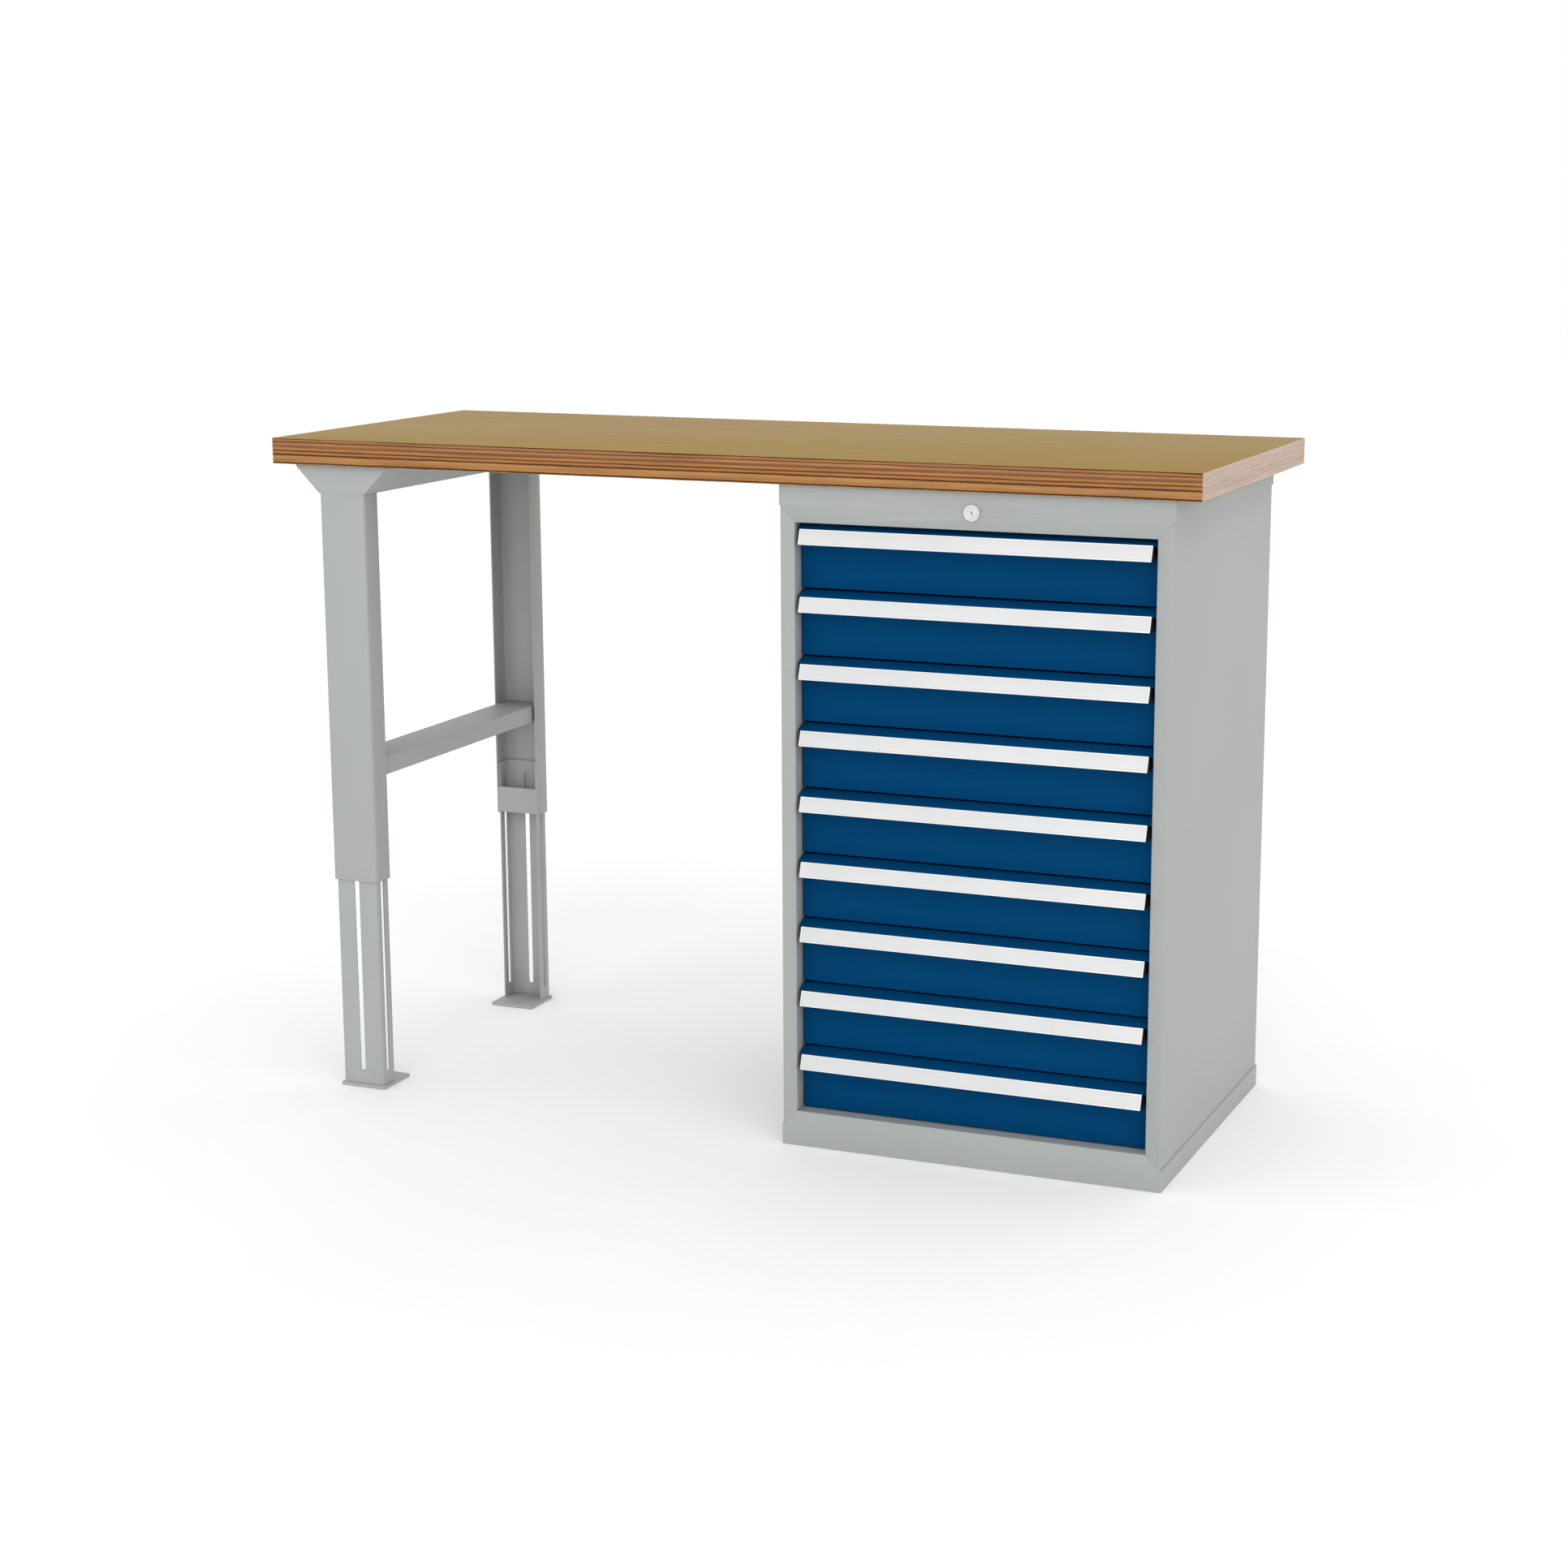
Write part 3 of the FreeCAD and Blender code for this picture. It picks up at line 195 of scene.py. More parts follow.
class LegSizes(bpy.types.PropertyGroup):
    """Sizes of the leg frame."""

    sheet: length_size("Sheet", "Sheet of the profiles", 0.0025)
    bend: length_size("Bend", "Outer radius of the profiles", 0.0055)
    beam_bend: length_size("Beam Bend", "Outer radius of the beam's folds", 0.003)
    beam_width: length_size("Beam Width", "Width at the worktop, before folds are rounded", 0.168)
    flange_edge: length_size("Flange Edge", "Beam flanges' edges beside the leg's middle", 0.018)
    slot: length_size("Slot", "Width of the long slots", 0.0086)
    slot_foot: length_size("Slot Foot", "Bottom of the slots above the floor", 0.026)
    slot_head: length_size("Slot Head", "Top of the slots below the profile's end", 0.020)
    bolt_hole: length_size("Bolt Hole", "Radius of the clamp bolts' holes", 0.0045)
    bolt_head: length_size("Bolt Head", "Half the width of the bolts' heads", 0.0065)
    foot_corner: length_size("Foot Corner", "Radius of the foot plates' corners", 0.0015)
    tube_bend: length_size("Tube Bend", "Outer radius of the crossbar's corners", 0.0024)
    tube: length_size("Tube", "Wall of the crossbar", 0.002)


class StageLook(bpy.types.PropertyGroup):
    """Floor, lights and camera."""

    sky: amount("Sky", "Strength of the even light from all round", 1.0)
    key: amount("Key", "Strength of the soft light from the right front", 0.85)
    key_turn: angle("Key Turn", "Key's turn round the bench", 30)
    key_rise: angle("Key Rise", "Key's height over the floor", 24)
    key_spread: angle("Key Spread", "Softness of the key", 60)
    lens: amount("Lens", "Focal length in millimetres", 66.17)
    turn: angle("Turn", "Camera's turn round the bench", 21.87)
    dip: angle("Dip", "Camera's view below the horizon", 11.82)
    place: FloatVectorProperty(
        name="Place",
        description="Camera's place",
        default=(1.7911, -4.1533, 1.4432),
        size=3,
        subtype="TRANSLATION",
    )
    shift: FloatProperty(name="Shift", description="Sideways shift of the picture", default=-0.0497)
    floor: length_size("Floor", "Width of the floor", 40.0)
    floor_drop: length_size("Floor Drop", "Floor below the feet", 0.0002)
    segments: IntProperty(name="Floor Steps", description="Cuts across the floor", default=8, min=1)


# ---------------------------------------------------------------- modelling, step by step
# How far a piece reaches into the one it is joined to, and a cutter past the piece it cuts, in metres.
SUNK, PAST = 0.0002, 0.005
# Softness of edges, in metres: fine sheet, the legs' sheet and thick plate.
FINE_BREAK, LEG_BREAK, PLATE_BREAK = 0.00025, 0.0004, 0.0005
# Two places closer than this, in metres, are the same.
NEAR = 1e-5
# Share of a rim's width that the side rims leave free of the long ones.
RIM_TUCK = 0.8
# Share of a slot's half width that its round ends take, just under all of it.
ROUND_END = 0.99
AXES = {"X": Vector((1, 0, 0)), "Y": Vector((0, 1, 0)), "Z": Vector((0, 0, 1))}


def spot(axis, level, point):
    """A point of a section, placed at a level of the axis that crosses it."""
    u, v = point
    return {"X": Vector((level, u, v)), "Y": Vector((u, level, v)), "Z": Vector((u, v, level))}[axis]


def stop_editing():
    """Leaves edit mode, where it is on."""
    if bpy.context.object and bpy.context.object.mode != "OBJECT":
        bpy.ops.object.mode_set(mode="OBJECT")


def lay_down():
    """Leaves edit mode and selects nothing."""
    stop_editing()
    bpy.ops.object.select_all(action="DESELECT")


def take_up(*pieces):
    """Selects these pieces alone, the last one active."""
    lay_down()
    for piece in pieces:
        piece.select_set(True)
        bpy.context.view_layer.objects.active = piece


def settle(name):
    """Names the new piece and moves its place into its mesh."""
    stop_editing()
    piece = bpy.context.object
    piece.name = piece.data.name = name
    bpy.ops.object.transform_apply(location=True, rotation=True, scale=True)
    return piece


def bar(name, low, high):
    """A box between two corners, ready to be shaped."""
    lay_down()
    middle = (Vector(low) + Vector(high)) / 2
    bpy.ops.mesh.primitive_cube_add(size=1, location=middle, scale=Vector(high) - Vector(low))
    return settle(name)


def disc(name, axis, centre, radius, length, sides=48):
    """A round bar from a centre along +axis, ready to be shaped."""
    lay_down()
    turn = {"X": (0, math.pi / 2, 0), "Y": (math.pi / 2, 0, 0), "Z": (0, 0, 0)}[axis]
    middle = Vector(centre) + AXES[axis] * (length / 2)
    bpy.ops.mesh.primitive_cylinder_add(
        vertices=sides, radius=radius, depth=length, location=middle, rotation=turn
    )
    return settle(name)


def draw_line(name, axis, level, points):
    """A line drawn point by point, each new point pulled out of the one before."""
    lay_down()
    bpy.ops.mesh.primitive_plane_add(size=0.01, location=spot(axis, level, points[0]))
    piece = settle(name)
    bpy.ops.object.mode_set(mode="EDIT")
    bpy.ops.mesh.select_mode(type="VERT")
    bpy.ops.mesh.select_all(action="SELECT")
    bpy.ops.mesh.merge(type="CENTER")
    for here, following in zip(points, points[1:]):
        run = spot(axis, 0, (following[0] - here[0], following[1] - here[1]))
        bpy.ops.mesh.extrude_region_move(TRANSFORM_OT_translate={"value": run})
    bpy.ops.mesh.select_all(action="SELECT")
    return piece


def pull(run):
    """Extrudes what is selected along a run."""
    bpy.ops.mesh.extrude_region_move(TRANSFORM_OT_translate={"value": run})


def slab(name, axis, start, end, points):
    """A flat plate with the given outline."""
    piece = draw_line(name, axis, start, points)
    bpy.ops.mesh.edge_face_add()
    pull(AXES[axis] * (end - start))
    square_up()
    return piece


def square_up():
    """Merges doubled points, turns all faces outwards and leaves edit mode."""
    bpy.ops.mesh.select_all(action="SELECT")
    bpy.ops.mesh.remove_doubles(threshold=1e-6)
    bpy.ops.mesh.normals_make_consistent(inside=False)
    stop_editing()


def sheet_line(name, axis, start, end, points, closed=False):
    """The bare surface of a folded sheet: a line pulled along the axis. Its thickness comes later."""
    piece = draw_line(name, axis, start, points)
    pull(AXES[axis] * (end - start))
    if closed:
        bpy.ops.mesh.select_all(action="SELECT")
        bpy.ops.mesh.remove_doubles(threshold=1e-6)
    square_up()
    return piece


def choose(piece, kind, test):
    """In edit mode, selects only the faces, edges or points that pass the test."""
    take_up(piece)
    bpy.ops.object.mode_set(mode="EDIT")
    bpy.ops.mesh.select_mode(type={"faces": "FACE", "edges": "EDGE", "verts": "VERT"}[kind])
    bpy.ops.mesh.select_all(action="DESELECT")
    mesh = bmesh.from_edit_mesh(piece.data)
    for element in getattr(mesh, kind):
        if kind == "faces":
            passed = test(element.calc_center_median(), element.normal)
        elif kind == "edges":
            a, b = (point.co for point in element.verts)
            passed = test((a + b) / 2, (b - a).normalized())
        else:
            passed = test(element.co)
        if passed:
            element.select_set(True)
    mesh.select_flush_mode()
    bmesh.update_edit_mesh(piece.data)


def round_edges(piece, test, radius, steps=4):
    """Rounds the edges whose middle and direction pass the test."""
    choose(piece, "edges", test)
    bpy.ops.mesh.bevel(offset=radius, segments=steps, affect="EDGES")
    stop_editing()


def open_side(piece, test):
    """Takes away the faces whose middle and direction pass the test."""
    choose(piece, "faces", test)
    bpy.ops.mesh.delete(type="FACE")
    stop_editing()


def upright(middle, way):
    """Whether an edge stands upright."""
    return abs(way.z) > 0.9


def modify(piece, kind, **settings):
    """Adds a modifier with these settings and applies it."""
    take_up(piece)
    bpy.ops.object.modifier_add(type=kind)
    modifier = piece.modifiers[-1]
    for setting, value in settings.items():
        setattr(modifier, setting, value)
    bpy.ops.object.modifier_apply(modifier=modifier.name)
    return piece


def bend_folds(piece, radius, steps=4, limit=8):
    """Rounds the edges that are sharper than a limit in degrees."""
    return modify(
        piece,
        "BEVEL",
        width=radius,
        segments=steps,
        limit_method="ANGLE",
        angle_limit=math.radians(limit),
        use_clamp_overlap=True,
    )


def thicken(piece, sheet, inwards=True):
    """Gives the surface its sheet thickness, behind its outward faces or in front of them."""
    return modify(
        piece,
        "SOLIDIFY",
        thickness=sheet,
        offset=-1 if inwards else 1,
        use_even_offset=True,
        use_quality_normals=True,
    )


def shade(piece):
    """Shades the faces smooth, except over sharp edges."""
    take_up(piece)
    bpy.ops.object.shade_smooth_by_angle(angle=math.radians(35))
    return piece


def soften(piece, width=0.0003, steps=2, limit=40):
    """Breaks the sharp edges and shades the faces smooth."""
    return shade(bend_folds(piece, width, steps, limit))


def fold(name, axis, start, end, points, sheet, radius, closed=False):
    """Folded sheet along a drawn line, its thickness on the left of the line."""
    piece = sheet_line(name, axis, start, end, points, closed)
    side = thickness_side(piece, axis, points)
    bend_folds(piece, radius)
    return thicken(piece, sheet, inwards=side)


def thickness_side(piece, axis, points):
    """Whether the left of the drawn line lies behind the surface's faces."""
    run = Vector((points[1][0] - points[0][0], points[1][1] - points[0][1]))
    left = spot(axis, 0, (-run.y, run.x))
    middle = spot(axis, 0, ((points[0][0] + points[1][0]) / 2, (points[0][1] + points[1][1]) / 2))
    level = AXES[axis]
    nearest = min(
        piece.data.polygons,
        key=lambda face: ((face.center - level * face.center.dot(level)) - middle).length,
    )
    return nearest.normal.dot(left) < 0


def cut_away(piece, cutter):
    """Cuts a cutter's shape out of the piece."""
    modify(piece, "BOOLEAN", object=cutter, operation="DIFFERENCE", solver="EXACT")
    bpy.data.objects.remove(cutter, do_unlink=True)
    return piece


def round_slot(axis, low, high):
    """A cutter for an upright slot with round ends."""
    cutter = bar("slot_cutter", low, high)
    across = AXES["X"] if axis == "Y" else AXES["Y"]
    half = (Vector(high) - Vector(low)).dot(across) / 2
    round_edges(cutter, lambda middle, way: abs(way.dot(AXES[axis])) > 0.9, half * ROUND_END, 6)
    return cutter


def weld(name, *pieces):
    """Joins pieces into one."""
    take_up(*reversed(pieces))
    bpy.ops.object.join()
    piece = bpy.context.object
    piece.name = piece.data.name = name
    return piece


def copy_of(piece, name, move):
    """A copy with its own mesh, moved."""
    take_up(piece)
    bpy.ops.object.duplicate(linked=False)
    bpy.ops.transform.translate(value=move)
    return settle(name)


def front_to_back(piece, name):
    """A copy on the other side of the bench's middle plane, its faces turned outwards again."""
    take_up(piece)
    bpy.ops.object.duplicate(linked=False)
    bpy.ops.transform.mirror(
        orient_type="GLOBAL", constraint_axis=(False, True, False), center_override=(0, 0, 0)
    )
    settle(name)
    twin = bpy.context.object
    bpy.ops.object.mode_set(mode="EDIT")
    square_up()
    return twin


def dress(piece, *names):
    """Gives the piece these finishes."""
    finish = finishes()
    piece.data.materials.clear()
    for name in names:
        piece.data.materials.append(finish[name])


def hand_over(piece, body, slot, names, *nodes):
    """Gives the piece its finishes and its body, and hides the frame nodes that it stands for."""
    dress(piece, *names)
    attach(piece, body)
    if nodes:
        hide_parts(*nodes)
    return piece


def paint_grey(piece, *nodes, body="bench"):
    """Hands over a grey piece."""
    return hand_over(piece, body, "grey_paint", ["grey_powder_coat"], *nodes)


# ---------------------------------------------------------------- finishes
# Places of a colour mix node's sockets, which share their names with those of its other kinds.
MIX_SHARE, MIX_UNDER, MIX_OVER = 0, 6, 7
WHITE = (1.0, 1.0, 1.0)


class Finish:
    """A material that is put together node by node, from left to right."""

    def __init__(self, name, metallic=0.0, roughness=0.5, specular=0.5):
        self.material = bpy.data.materials.new(name)
        self.material.use_nodes = True
        self.tree = self.material.node_tree
        self.shader = self.tree.nodes["Principled BSDF"]
        self.shader.inputs["Metallic"].default_value = metallic
        self.shader.inputs["Roughness"].default_value = roughness
        self.shader.inputs["Specular IOR Level"].default_value = specular
        self.place = self.node("ShaderNodeTexCoord").outputs["Object"]

    def feed(self, socket, value):
        """Links another node's output to a socket, or sets the socket's value."""
        if isinstance(value, bpy.types.NodeSocket):
            self.tree.links.new(value, socket)
        else:
            socket.default_value = value

    def node(self, kind, inputs=None, **settings):
        """A new node with its settings and inputs."""
        made = self.tree.nodes.new(kind)
        for setting, value in settings.items():
            setattr(made, setting, value)
        for socket, value in (inputs or {}).items():
            self.feed(made.inputs[socket], value)
        return made

    def stretched(self, scale):
        """The place on the bench, scaled along its axes."""
        mapping = self.node("ShaderNodeMapping", {"Vector": self.place, "Scale": scale})
        return mapping.outputs["Vector"]

    def noise(self, scale, stretch=(1, 1, 1), detail=3.0, rough=0.55, swirl=0.0):
        inputs = {"Vector": self.stretched(stretch), "Scale": scale, "Detail": detail}
        inputs.update({"Roughness": rough, "Distortion": swirl})
        return self.node("ShaderNodeTexNoise", inputs).outputs["Fac"]

    def sums(self, operation, a, b):
        return self.node("ShaderNodeMath", {0: a, 1: b}, operation=operation).outputs["Value"]

    def spread(self, value, from_low, from_high, to_low, to_high):
        """A value taken from one range to another."""
        limits = (value, from_low, from_high, to_low, to_high)
        return self.node("ShaderNodeMapRange", dict(enumerate(limits))).outputs["Result"]

    def shades(self, value, stops):
        """Colours along a ramp."""
        made = self.node("ShaderNodeValToRGB", {"Fac": value})
        elements = made.color_ramp.elements
        while len(elements) < len(stops):
            elements.new(0.5)
        for element, (position, colour) in zip(elements, stops):
            element.position = position
            element.color = (*colour, 1)
        return made.outputs["Color"]

    def clouded(self, value, colour, dark, light):
        """A colour, a little darker and lighter by turns."""
        return self.shades(value, [(0.3, tint(colour, dark)), (0.7, tint(colour, light))])

    def mixed(self, blend, share, a, b):
        """Two colours, one laid over the other."""
        a, b = (c if isinstance(c, bpy.types.NodeSocket) else (*c, 1) for c in (a, b))
        inputs = {MIX_SHARE: share, MIX_UNDER: a, MIX_OVER: b}
        return self.node("ShaderNodeMix", inputs, data_type="RGBA", blend_type=blend).outputs[2]

    def colour(self, value):
        self.feed(self.shader.inputs["Base Color"], value)

    def gloss(self, value):
        self.feed(self.shader.inputs["Roughness"], value)

    def relief(self, height, strength, depth):
        """Raises and lowers the surface by a pattern."""
        inputs = {"Height": height, "Strength": strength, "Distance": depth}
        self.feed(self.shader.inputs["Normal"], self.node("ShaderNodeBump", inputs).outputs["Normal"])


def tint(colour, factor):
    """A colour, lighter or darker."""
    return tuple(min(1.0, part * factor) for part in colour)


def powder_coat(name, colour, roughness, specular):
    """Powder coat: even colour with a faint cloud, a fine orange peel and patchy gloss."""
    finish = Finish(name, roughness=roughness, specular=specular)
    cloud = finish.noise(3.0, detail=2.0)
    peel = finish.noise(520.0, detail=2.0, rough=0.5)
    finish.colour(finish.clouded(cloud, colour, 0.975, 1.025))
    finish.gloss(finish.spread(peel, 0.3, 0.7, roughness - 0.05, roughness + 0.05))
    finish.relief(peel, 0.10, 0.00025)
    return finish.material


def beech_face(name, colour):
    """Oiled beech face veneer: long soft figure, fine fibres and short dark pores."""
    finish = Finish(name, specular=0.03)
    figure = finish.noise(1.5, (1.0, 7.0, 7.0), detail=3.0, swirl=1.1)
    fibres = finish.noise(1.0, (6.0, 330.0, 330.0), detail=5.0, rough=0.65)
    pores = finish.noise(1.0, (70.0, 1500.0, 1500.0), detail=2.0)
    veneer = finish.noise(1.0, (0.6, 3.2, 3.2), detail=1.0, swirl=0.4)
    turned = ((0.93, 0.98, 0.80), (1.05, 1.03, 1.12), (0.96, 0.92, 0.95))
    olive, tan, brown = ([a * b for a, b in zip(colour, turn)] for turn in turned)
    base = finish.shades(figure, [(0.30, olive), (0.50, colour), (0.68, tan)])
    base = finish.mixed("MIX", finish.spread(veneer, 0.42, 0.62, 0.0, 0.6), base, brown)
    dark, light = (0.86, 0.84, 0.80), (1.04, 1.03, 1.0)
    grain = finish.shades(fibres, [(0.30, dark), (0.60, WHITE), (0.80, light)])
    base = finish.mixed("MULTIPLY", 0.75, base, grain)
    specks = finish.shades(pores, [(0.30, (0.72, 0.66, 0.58)), (0.42, WHITE)])
    base = finish.mixed("MULTIPLY", 0.45, base, specks)
    finish.colour(base)
    finish.gloss(finish.spread(fibres, 0.3, 0.7, 0.52, 0.40))
    finish.relief(finish.sums("ADD", fibres, finish.sums("MULTIPLY", pores, 0.5)), 0.12, 0.0002)
    return finish.material


def ply_layers(name, stops, warm, cool, low, high):
    """Sawn multiplex edge: plies one over the other, wavy glue lines and streaky fibres."""
    finish = Finish(name, roughness=0.65, specular=0.08)
    split = finish.node("ShaderNodeSeparateXYZ", {0: finish.place})
    wave = finish.noise(1.0, (5.0, 5.0, 60.0), detail=2.0)
    ripple = finish.noise(1.0, (55.0, 55.0, 300.0), detail=2.0)
    height = finish.spread(split.outputs["Z"], low, high, 0.0, 1.0)
    height = finish.sums("ADD", height, finish.spread(wave, 0.0, 1.0, -0.030, 0.030))
    height = finish.sums("ADD", height, finish.spread(ripple, 0.0, 1.0, -0.014, 0.014))
    layers = finish.shades(height, stops)
    streaks = finish.noise(1.0, (13.0, 13.0, 900.0), detail=4.0, rough=0.7)
    blotches = finish.noise(1.0, (7.0, 7.0, 150.0), detail=3.0)
    blotched = finish.shades(blotches, [(0.32, cool), (0.68, warm)])
    layers = finish.mixed("MULTIPLY", 0.8, layers, blotched)
    light, dark = (1.12, 1.10, 1.06), (0.62, 0.56, 0.50)
    fibres = finish.shades(streaks, [(0.28, dark), (0.52, WHITE), (0.75, light)])
    finish.colour(finish.mixed("MULTIPLY", 0.62, layers, fibres))
    finish.relief(streaks, 0.25, 0.0003)
    return finish.material


def plated_steel(name, colour):
    """Zinc-plated steel: bright, with a faint crystal pattern."""
    finish = Finish(name, metallic=0.85, roughness=0.38)
    crystals = finish.node("ShaderNodeTexVoronoi", {"Vector": finish.place, "Scale": 140.0})
    cells = finish.shades(crystals.outputs["Distance"], [(0.1, tint(WHITE, 0.88)), (0.7, WHITE)])
    haze = finish.noise(18.0, detail=4.0)
    finish.colour(finish.mixed("MULTIPLY", 0.25, finish.clouded(haze, colour, 0.86, 1.08), cells))
    finish.gloss(finish.spread(haze, 0.3, 0.7, 0.32, 0.48))
    finish.relief(haze, 0.05, 0.0002)
    return finish.material


def drawn_metal(name, colour, roughness, metallic):
    """Drawn metal with fine lines along the bench."""
    finish = Finish(name, metallic=metallic, roughness=roughness)
    lines = finish.noise(1.0, (4.0, 2600.0, 2600.0), detail=2.0)
    haze = finish.noise(9.0, detail=2.0)
    drawn = finish.clouded(lines, WHITE, 0.90, 1.0)
    finish.colour(finish.mixed("MULTIPLY", 0.35, finish.clouded(haze, colour, 0.97, 1.02), drawn))
    finish.gloss(finish.spread(lines, 0.3, 0.7, roughness - 0.06, roughness + 0.06))
    finish.relief(lines, 0.06, 0.0001)
    return finish.material


def moulded_plastic(name, colour, roughness, grain):
    """Moulded plastic with a fine grain."""
    finish = Finish(name, roughness=roughness, specular=0.4)
    specks = finish.noise(grain, detail=3.0)
    haze = finish.noise(11.0, detail=2.0)
    finish.colour(finish.clouded(haze, colour, 0.97, 1.03))
    finish.gloss(finish.spread(specks, 0.3, 0.7, roughness - 0.06, roughness + 0.08))
    finish.relief(specks, 0.08, 0.00012)
    return finish.material


def pale_floor(name):
    """Matt white studio floor."""
    finish = Finish(name, roughness=0.9, specular=0.1)
    haze = finish.noise(1.3, detail=2.0)
    finish.colour(finish.clouded(haze, WHITE, 0.96, 0.98))
    return finish.material


# Plies of the long edges and of the end, from the underside up: height share and colour.
EDGE_PLIES = [
    (0.00, (0.80, 0.56, 0.33)),
    (0.014, (0.76, 0.50, 0.28)),
    (0.026, (0.09, 0.03, 0.014)),
    (0.068, (0.11, 0.04, 0.018)),
    (0.092, (0.56, 0.30, 0.11)),
    (0.15, (0.50, 0.27, 0.095)),
    (0.24, (0.59, 0.32, 0.135)),
    (0.322, (0.56, 0.31, 0.13)),
    (0.345, (0.13, 0.048, 0.02)),
    (0.385, (0.12, 0.042, 0.018)),
    (0.412, (0.52, 0.26, 0.10)),
    (0.48, (0.51, 0.26, 0.105)),
    (0.50, (0.16, 0.06, 0.025)),
    (0.528, (0.17, 0.066, 0.026)),
    (0.556, (0.57, 0.28, 0.10)),
    (0.625, (0.54, 0.27, 0.11)),
    (0.65, (0.27, 0.13, 0.06)),
    (0.728, (0.33, 0.17, 0.085)),
    (0.752, (0.52, 0.28, 0.14)),
    (0.815, (0.50, 0.27, 0.14)),
    (0.836, (0.19, 0.08, 0.036)),
    (0.862, (0.22, 0.095, 0.044)),
    (0.886, (0.49, 0.25, 0.115)),
    (0.948, (0.45, 0.23, 0.11)),
    (0.966, (0.10, 0.036, 0.018)),
    (1.00, (0.095, 0.034, 0.017)),
]
END_PLIES = [
    (0.00, (0.82, 0.76, 0.70)),
    (0.05, (0.56, 0.46, 0.40)),
    (0.09, (0.72, 0.63, 0.56)),
    (0.14, (0.52, 0.42, 0.37)),
    (0.18, (0.70, 0.60, 0.53)),
    (0.24, (0.55, 0.45, 0.39)),
    (0.34, (0.60, 0.50, 0.44)),
    (0.46, (0.58, 0.48, 0.42)),
    (0.55, (0.66, 0.56, 0.49)),
    (0.62, (0.56, 0.46, 0.41)),
    (0.68, (0.70, 0.61, 0.54)),
    (0.73, (0.54, 0.44, 0.39)),
    (0.78, (0.70, 0.61, 0.55)),
    (0.83, (0.54, 0.44, 0.40)),
    (0.88, (0.71, 0.62, 0.56)),
    (0.92, (0.55, 0.46, 0.41)),
    (0.96, (0.70, 0.61, 0.56)),
    (1.00, (0.62, 0.53, 0.49)),
]


def finishes():
    """All finishes of the bench, made once."""
    colours = bpy.context.scene.bench_colours
    makers = {
        "grey_powder_coat": lambda n: powder_coat(n, colours.grey, 0.52, 0.25),
        "blue_powder_coat": lambda n: powder_coat(n, colours.blue, 0.48, 0.02),
        "beech_face": lambda n: beech_face(n, colours.beech),
        "multiplex_edge": lambda n: ply_layers(
            n, EDGE_PLIES, (0.78, 0.67, 0.53), (0.47, 0.41, 0.39), TOP_LOW.z, TOP_HIGH.z
        ),
        "multiplex_end": lambda n: ply_layers(
            n, END_PLIES, (0.83, 0.75, 0.67), (0.69, 0.63, 0.59), TOP_LOW.z, TOP_HIGH.z
        ),
        "drawn_aluminium": lambda n: drawn_metal(n, colours.aluminium, 0.34, 0.35),
        "satin_nickel": lambda n: drawn_metal(n, colours.nickel, 0.30, 0.6),
        "zinc_plate": lambda n: plated_steel(n, colours.zinc),
        "label_film": lambda n: moulded_plastic(n, colours.label, 0.35, 700.0),
        "black_plastic": lambda n: moulded_plastic(n, colours.plastic, 0.5, 900.0),
        "studio_floor": pale_floor,
    }
    return {name: bpy.data.materials.get(name) or make(name) for name, make in makers.items()}


# ---------------------------------------------------------------- worktop
class BENCH_OT_worktop(bpy.types.Operator):
    """Models the multiplex worktop"""

    bl_idname = "bench.worktop"
    bl_label = "Worktop"

    def execute(self, context):
        board = bar("worktop_board", TOP_LOW, TOP_HIGH)
        soften(board, context.scene.bench_board.edge_round, 3, 60)
        woods = ["beech_face", "multiplex_edge", "multiplex_end"]
        hand_over(board, "bench", "plywood", woods, "worktop")
        for face in board.data.polygons:
            flat = abs(face.normal.z) > 0.55
            # The end and most of the rounded corner beside it take the pale end plies; on the corner
            # this is a painted highlight line.
            end = abs(face.normal.x) > 0.3
            face.material_index = 0 if flat else 2 if end else 1
        return {"FINISHED"}


# ---------------------------------------------------------------- cabinet case
def band_ring(name, bottom, top, plate_low, plate_high, sizes):
    """The band round the case, hollow between two heights, with bent corners."""
    ring = bar(name, (BASE_LOW.x, BASE_LOW.y, bottom), (BASE_HIGH.x, BASE_HIGH.y, top))
    round_edges(ring, upright, sizes.bend)
    sheet = sizes.band_sheet
    hollow = bar(
        "hollow",
        (BASE_LOW.x + sheet, BASE_LOW.y + sheet, plate_low),
        (BASE_HIGH.x - sheet, BASE_HIGH.y - sheet, plate_high),
    )
    return cut_away(ring, hollow)


def frame_rail(edge, opening_edge, sizes):
    """The mitred rail of the drawer frame, between the band's edge and the opening."""
    left, right = BASE_LOW.x + sizes.band_sheet, BASE_HIGH.x - sizes.band_sheet
    overlap = math.copysign(sizes.band_sheet, opening_edge - edge)
    outline = [
        (left, edge - overlap),
        (right, edge - overlap),
        (right, edge),
        (BASE_HIGH.x - sizes.stile, opening_edge),
        (BASE_LOW.x + sizes.stile, opening_edge),
        (left, edge),
    ]
    return slab("frame_rail", "Y", BASE_LOW.y, BASE_LOW.y + sizes.band_sheet, outline)


def rail_return(opening_edge, way, sizes):
    """The rail's return into the case, over or under the drawers."""
    inner = opening_edge - way * sizes.band_sheet
    low = (BASE_LOW.x + sizes.stile, BASE_LOW.y + sizes.band_sheet / 2, min(opening_edge, inner))
    high = (BASE_HIGH.x - sizes.stile, BASE_LOW.y + sizes.stile_depth, max(opening_edge, inner))
    return bar("rail_return", low, high)


def fuse(piece, *others):
    """Joins closed pieces into one skin."""
    for other in others:
        modify(piece, "BOOLEAN", object=other, operation="UNION", solver="EXACT")
        bpy.data.objects.remove(other, do_unlink=True)
    return piece


